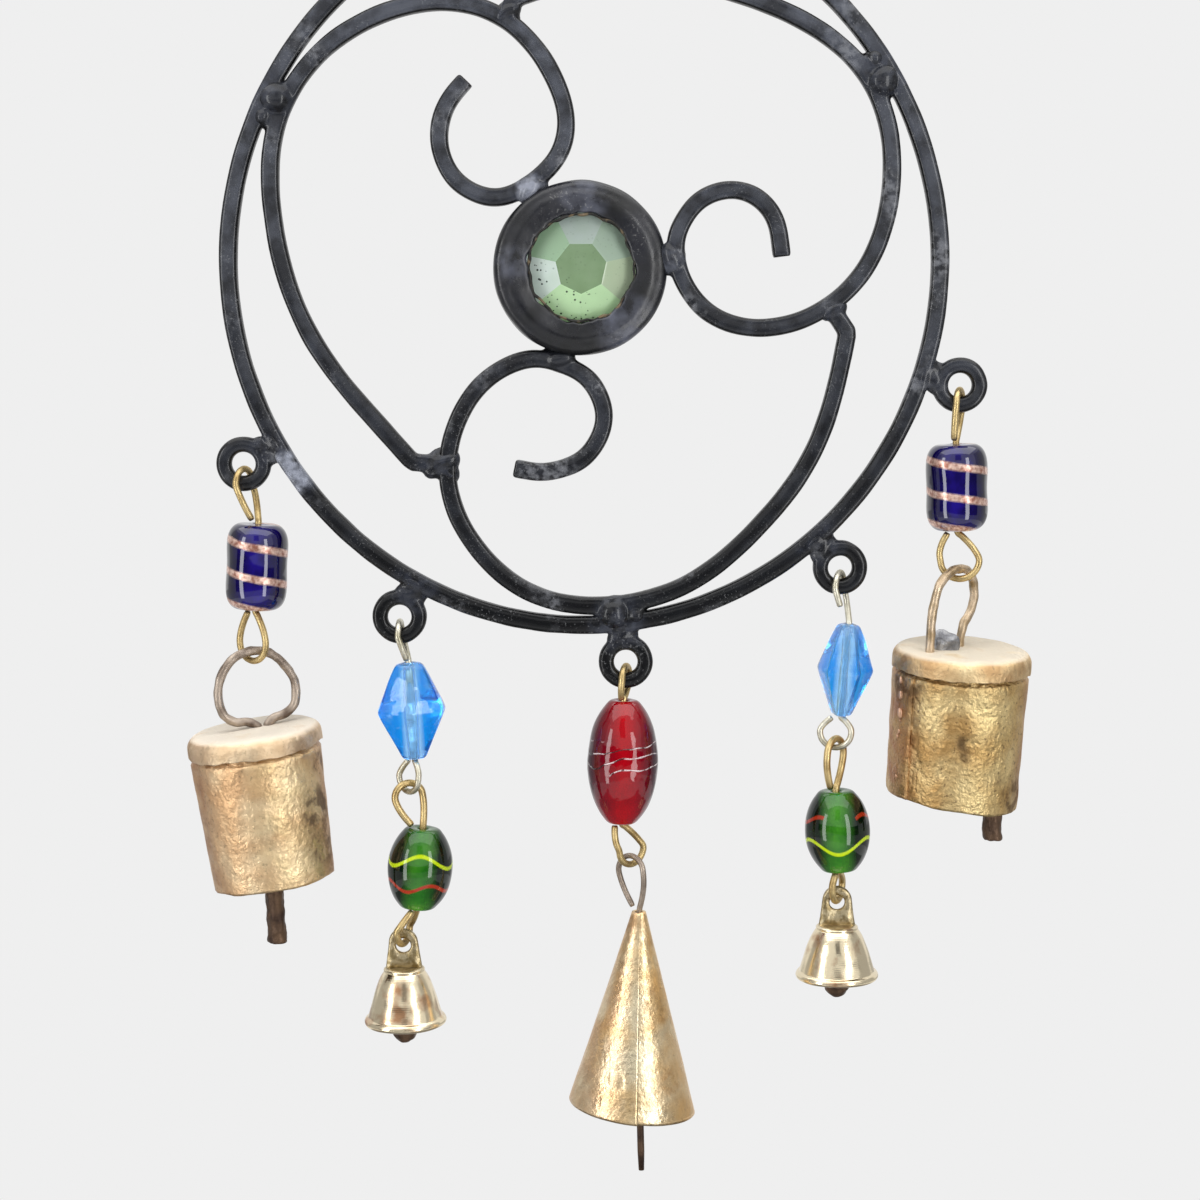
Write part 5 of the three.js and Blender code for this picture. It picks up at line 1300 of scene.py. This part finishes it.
def make_small_bell(number):
    """Cast bell: a profile with a collar, a flare and a lip bead, turned, its pierced tab and its inner ring."""
    bell = SMALL_BELLS[number]
    neck, wall = bell["crown"], CAST["wall"]
    crown, height, wide = -bell["drop"], bell["height"], bell["mouth"] - neck
    outer = np.array([[-0.1, -0.02], [0.0, 0.005], [0.01, 0.03], [-0.01, 0.045], [0.02, 0.06], [0.22, 0.18],
                      [0.4, 0.34], [0.56, 0.52], [0.69, 0.7], [0.78, 0.82], [0.82, 0.86], [0.92, 0.88], [0.99, 0.92],
                      [1.0, 0.95], [0.97, 0.985], [0.9, 1.0], [0.8, 0.995]])
    outside = profile_curve(np.stack([neck + outer[:, 0] * wide, crown - outer[:, 1] * height], -1), 5)
    inside = profile_curve([[bell["mouth"] - 1.9, crown - height * 0.93], [neck + wide * 0.45, crown - height * 0.65],
                            [neck * 0.95, crown - height * 0.3], [neck * 0.6, crown - wall * 1.1],
                            [0.3, crown - wall]], 5)
    top = [[0.3, crown + 0.4], [neck * 0.6, crown + 0.35]]
    ring = round_eye(np.array([0, 0, crown - wall - CAST["ring"] * 0.55]), CAST["ring"], SIDEWAYS,
                     circle(CAST["ring_wire"], 10), np.linspace(-np.pi, np.pi, 96, endpoint=False))
    shells = (skin(turned(np.vstack([top, outside, inside]), 96)), tab_shell(bell, crown), ring)
    origin, tilted = joint_at(f"small_bell_{number}_swing"), about_y(bell["tilt"])
    add_shells(f"small_bell_{number}_cast", [placed(shell, origin, tilted) for shell in shells],
               f"small_bell_{number}", "cast_brass", "cast_brass", [f"small_bell_{number}"],
               local=(origin, tilted), uneven=[(0.03, 6, 91)])


def make_pear(number):
    """Pear clapper: an eye, a neck and a ball, melted together."""
    bell, body, radius = SMALL_BELLS[number], f"bell_clapper_{number}", PEAR["radius"]
    ring_low = -bell["drop"] - CAST["wall"] - CAST["ring"] * 0.55 - CAST["ring"]
    mouth = -bell["drop"] - bell["height"] - ring_low
    eye_z = CAST["ring_wire"] + HANG_GAP + PEAR["eye_wire"] - PEAR["eye"]
    eye = round_eye(np.array([0, 0, eye_z]), PEAR["eye"], (1, 0, 0), circle(PEAR["eye_wire"], 10), full_turn(40))
    foot, ball = eye_z - PEAR["eye"], mouth - PEAR["below"] + radius
    low = ball - radius
    profile = profile_curve([[0.2, foot + 0.3], [0.8, foot - 0.2], [1.5, ball + radius * 0.9],
                             [radius * 0.93, ball + 0.9], [radius, ball], [2.1, ball - 2.0], [0.9, low + 0.15],
                             [0.2, low]], 5)
    mesh = fused([placed(shell, joint_at(f"{body}_swing")) for shell in (eye, skin(turned(profile, 32)))], 0.2, 3)
    add_piece(f"{body}_pear", mesh, body, "clapper_iron", "clapper_iron", [body], uneven=[(0.05, 2, 92)])


# Stage

# Upright parts of a wall round the chime: from and to an angle, from and to a height and how far away, in metres,
# and how many times the darkest curtain's paleness
CURTAINS = {"curtain_level": (-74, 74, -0.37, -0.13, 1.1, 1), "curtain_low": (-74, 74, -0.61, -0.37, 1.1, 9),
            "curtain_high": (-11, 11, 0.45, 1.6, 2.0, 4), "curtain_right": (70, 120, -0.61, 1.2, 2.0, 9),
            "curtain_left": (-120, -70, -0.61, 1.2, 2.0, 9), "low_right": (74, 150, -0.61, -0.3, 1.1, 9),
            "low_left": (-150, -74, -0.61, -0.3, 1.1, 9)}
# Lamps: the angle that each stands at, its distance, width and height in metres, and how many times the setting's
# power
LAMPS = {"window_left": (-52, 0.95, 0.22, 0.9, 1.5), "window_right": (37, 0.95, 0.22, 0.9, 1.5),
         "soft_left": (-44, 1.0, 0.62, 1.1, 2.2), "soft_right": (40, 1.0, 0.62, 1.1, 2.2),
         "overhead": (0, 0.3, 0.9, 0.6, 3.6)}
LAMP_Z, OVERHEAD_Z = -0.15, 0.9
FLOOR = {"radius": 4.0, "z": -0.62, "corners": 64}
# The camera, solved from the photo: its place in metres and how far down it looks, in degrees
CAMERA_PLACE, CAMERA_DOWN = (0.003463, -0.533, -0.09666), 7


def emptied(holder):
    """The nodes of a material or world, with none in it."""
    holder.use_nodes = True
    holder.node_tree.nodes.clear()
    return Nodes(holder.node_tree)


def curtain_rows(left, right, low, high, away):
    """Part of an upright wall round the chime: sine and cosine from one angle to another, at two heights."""
    side = np.radians(np.linspace(left, right, 25))
    return [np.stack([away * np.sin(side), -away * np.cos(side), np.full(25, z)], -1) for z in (low, high)]


def add_stage_mesh(name, points, faces, material):
    """A mesh that belongs to the stage."""
    mesh = bpy.data.meshes.new(name)
    mesh.from_pydata(points.tolist(), [], faces)
    mesh.materials.append(material)
    thing = bpy.data.objects.new(name, mesh)
    bpy.context.scene.collection.objects.link(thing)
    return thing


def make_panel(name, rows, strength):
    """A panel between two rows of points, pale or dark all over, which only glossy surfaces mirror."""
    count = len(rows[0])
    material = bpy.data.materials.new(name)
    m = emptied(material)
    glow = m.add("Emission", inputs={"Color": (1, 1, 1, 1), "Strength": strength})
    m.add("OutputMaterial", inputs={"Surface": glow.outputs[0]})
    faces = [[i, i + 1, i + 1 + count, i + count] for i in range(count - 1)]
    panel = add_stage_mesh(name, np.vstack(rows), faces, material)
    for rays in ("camera", "diffuse", "transmission", "volume_scatter", "shadow"):
        setattr(panel, f"visible_{rays}", False)


def make_world(looks, pale):
    """A world that the camera, metal and glass see as one pale colour, and that lights evenly from all round."""
    world = bpy.data.worlds.new("studio")
    bpy.context.scene.world = world
    m = emptied(world)
    fill = m.add("Background", inputs={"Color": (1, 1, 1, 1), "Strength": looks.fill})
    sky = m.add("Background", inputs={"Color": pale, "Strength": 1.0})
    mix = m.add("MixShader", inputs={0: m.beyond_lamps(), 1: fill.outputs[0], 2: sky.outputs[0]})
    m.add("OutputWorld", inputs={"Surface": mix.outputs[0]})


def make_floor(pale):
    """A disc in the world's colour to the camera, metal and glass, except that near its middle a twentieth of it is
    matt and shows the chime's shadow. The rays that carry the light find it all matt."""
    material = bpy.data.materials.new("pale_floor")
    m = emptied(material)
    place = m.add("TexCoord").outputs["Object"]
    away = m.add("VectorMath", {"operation": "LENGTH"}, {0: place}).outputs["Value"]
    even = m.add("MapRange", inputs={0: away, 1: 0.3, 2: 0.9, 3: 0.95, 4: 1.0}).outputs[0]
    matt = m.add("BsdfDiffuse", inputs={"Color": pale})
    glow = m.add("Emission", inputs={"Color": pale, "Strength": 1.0})
    mix = m.add("MixShader", inputs={0: m.times(m.beyond_lamps(), even), 1: matt.outputs[0], 2: glow.outputs[0]})
    m.add("OutputMaterial", inputs={"Surface": mix.outputs[0]})
    count = FLOOR["corners"]
    disc = np.column_stack([circle(FLOOR["radius"], count), np.full(count, FLOOR["z"])])
    add_stage_mesh("floor", disc, [list(range(count))], material)


def make_lamps(looks):
    """Area lamps that all face one point low in the ring. Glossy surfaces mirror the narrow ones only."""
    for name, (side, away, width, height, power) in LAMPS.items():
        data = bpy.data.lights.new(name, "AREA")
        data.shape, data.size, data.size_y, data.energy = "RECTANGLE", width, height, looks.window * power
        lamp = bpy.data.objects.new(name, data)
        bpy.context.scene.collection.objects.link(lamp)
        lamp.visible_glossy = name.startswith("window")
        side = math.radians(side)
        place_z = OVERHEAD_Z if name == "overhead" else LAMP_Z
        spot = np.array([away * math.sin(side), -away * math.cos(side), place_z])
        lamp.location = spot
        aim = np.array([0, 0, LAMP_Z]) - spot
        lamp.rotation_euler = (math.acos(-aim[2] / np.linalg.norm(aim)), 0, math.atan2(aim[1], aim[0]) - math.pi / 2)


def make_stage(looks):
    """The world, the floor, the panels that shiny surfaces mirror, and the lamps."""
    bpy.context.scene.view_settings.view_transform = "Standard"
    pale = tuple(looks.backdrop) + (1.0,)
    make_world(looks, pale)
    make_floor(pale)
    for name, (*place, times) in CURTAINS.items():
        make_panel(name, curtain_rows(*place), looks.curtain * times)
    make_panel("ceiling", [[[-1.2, y, 1.0], [1.2, y, 1.0]] for y in (-1.0, 0.7)], looks.ceiling)
    make_panel("card_below", [[[-0.6, y, -0.6], [0.6, y, -0.6]] for y in (-0.38, 0.3)], looks.curtain * 5)
    make_lamps(looks)


def make_camera(looks):
    """The camera a little right of the ring's middle, looking down a little."""
    data = bpy.data.cameras.new("camera")
    data.lens, data.sensor_width, data.clip_start = looks.lens, 36.0, 0.01
    camera = bpy.data.objects.new("camera", data)
    bpy.context.scene.collection.objects.link(camera)
    camera.location = CAMERA_PLACE
    camera.rotation_euler = (math.radians(90 - CAMERA_DOWN), 0, 0)
    bpy.context.scene.camera = camera


# Add-on

class WindChimeSizes(bpy.types.PropertyGroup):
    """Sizes of the chime, in millimetres"""
    bar: FloatProperty(name="Bar", description="Side of the square iron bar", default=4.0, min=2.0)
    ring_half_width: FloatProperty(name="Ring half width", description="From the ring's middle to its side",
                                   default=80.0, min=20.0)
    ring_half_height: FloatProperty(name="Ring half height", description="From the ring's middle to its top",
                                    default=81.5, min=20.0)
    bezel_radius: FloatProperty(name="Disc radius", description="Radius of the black centre disc", default=19.0)
    aperture: FloatProperty(name="Disc opening", description="Radius of the hole round the glass", default=11.7)
    hammering: FloatProperty(name="Hammering", description="Depth of the hammer marks on the bars", default=0.025)
    denting: FloatProperty(name="Denting", description="Depth of the dents in the cow bells", default=0.06)


class WindChimeLooks(bpy.types.PropertyGroup):
    """Light and camera of the scene"""
    backdrop: FloatVectorProperty(name="Backdrop", description="Colour of floor and background", size=3,
                                  subtype="COLOR", default=linear("#EFEFEF")[:3])
    fill: FloatProperty(name="Fill", description="Strength of the even light from all round", default=0.2, min=0.0)
    window: FloatProperty(name="Window", description="Power of each narrow lamp", default=2.2, unit="POWER")
    curtain: FloatProperty(name="Curtain", description="Paleness of the darkest curtain that glossy surfaces mirror",
                           default=0.05, min=0.0)
    ceiling: FloatProperty(name="Ceiling", description="Brightness of the panel above that glossy surfaces mirror",
                           default=2.6, min=0.0)
    lens: FloatProperty(name="Lens", description="Focal length", default=72.24, unit="CAMERA")


class ChimeStep:
    """What every building step shares: its options and its settings."""
    bl_options = {"REGISTER", "UNDO"}

    def settings(self, context):
        scene = context.scene
        if scene is None:
            raise RuntimeError("there is no scene to build in")
        return scene.wind_chime_sizes, scene.wind_chime_looks


class CHIME_OT_stage(ChimeStep, bpy.types.Operator):
    """Set up the floor, the light and the camera"""
    bl_idname, bl_label = "chime.stage", "Stage"

    def execute(self, context):
        _, looks = self.settings(context)
        make_camera(looks)
        make_stage(looks)
        return {"FINISHED"}


class CHIME_OT_ironwork(ChimeStep, bpy.types.Operator):
    """Build the ring, the scrolls and the eyelets"""
    bl_idname, bl_label = "chime.ironwork", "Ironwork"

    def execute(self, context):
        sizes, _ = self.settings(context)
        make_ring(sizes)
        for name in SCROLLS:
            make_scroll(sizes, name)
        for name, angle in EYELETS.items():
            make_eyelet(sizes, name, angle)
        return {"FINISHED"}


class CHIME_OT_centre(ChimeStep, bpy.types.Operator):
    """Build the black centre disc and its cut glass"""
    bl_idname, bl_label = "chime.centre", "Centre"

    def execute(self, context):
        sizes, _ = self.settings(context)
        make_bezel(sizes)
        make_gem()
        return {"FINISHED"}


class CHIME_OT_links(ChimeStep, bpy.types.Operator):
    """Bend the link wires and thread their beads"""
    bl_idname, bl_label = "chime.links", "Links and beads"

    def execute(self, context):
        for name, link in LINKS.items():
            make_link(name)
            make_bead(link["bead"], link["wire"], flip=name == "lower_link_4",
                      turned_by=80.0 if name == "upper_link_4" else 0.0)
        return {"FINISHED"}


class CHIME_OT_cow_bells(ChimeStep, bpy.types.Operator):
    """Build the two cow bells with their loops and clappers"""
    bl_idname, bl_label = "chime.cow_bells", "Cow bells"

    def execute(self, context):
        sizes, _ = self.settings(context)
        for number in COW_BELLS:
            make_cow_loop(number)
            make_cap(number)
            make_shell(sizes, number)
            make_clapper(number)
        make_solder_lump()
        return {"FINISHED"}


class CHIME_OT_cone_bell(ChimeStep, bpy.types.Operator):
    """Build the cone bell with its hanger and clapper"""
    bl_idname, bl_label = "chime.cone_bell", "Cone bell"

    def execute(self, context):
        make_cone()
        make_cone_hanger()
        make_cone_clapper()
        return {"FINISHED"}


class CHIME_OT_small_bells(ChimeStep, bpy.types.Operator):
    """Build the two small cast bells with their clappers"""
    bl_idname, bl_label = "chime.small_bells", "Small bells"

    def execute(self, context):
        for number in SMALL_BELLS:
            make_small_bell(number)
            make_pear(number)
        return {"FINISHED"}


STEPS = (CHIME_OT_stage, CHIME_OT_ironwork, CHIME_OT_centre, CHIME_OT_links, CHIME_OT_cow_bells,
         CHIME_OT_cone_bell, CHIME_OT_small_bells)


class CHIME_PT_panel(bpy.types.Panel):
    """Lists the chime's building steps and sizes"""
    bl_idname, bl_label = "CHIME_PT_panel", "Wind Chime"
    bl_space_type, bl_region_type, bl_category = "VIEW_3D", "UI", "Wind Chime"

    def draw(self, context):
        for step in STEPS:
            self.layout.operator(step.bl_idname)
        for group in (context.scene.wind_chime_sizes, context.scene.wind_chime_looks):
            for key in group.__annotations__:
                self.layout.prop(group, key)


CLASSES = (WindChimeSizes, WindChimeLooks) + STEPS + (CHIME_PT_panel,)


def register():
    for cls in CLASSES:
        bpy.utils.register_class(cls)
    bpy.types.Scene.wind_chime_sizes = PointerProperty(type=WindChimeSizes)
    bpy.types.Scene.wind_chime_looks = PointerProperty(type=WindChimeLooks)


def unregister():
    del bpy.types.Scene.wind_chime_looks
    del bpy.types.Scene.wind_chime_sizes
    for cls in reversed(CLASSES):
        bpy.utils.unregister_class(cls)


def main():
    """Registers the add-on and builds every piece."""
    register()
    for step in STEPS:
        group, name = step.bl_idname.split(".")
        getattr(getattr(bpy.ops, group), name)()


if __name__ == "__main__":
    main()
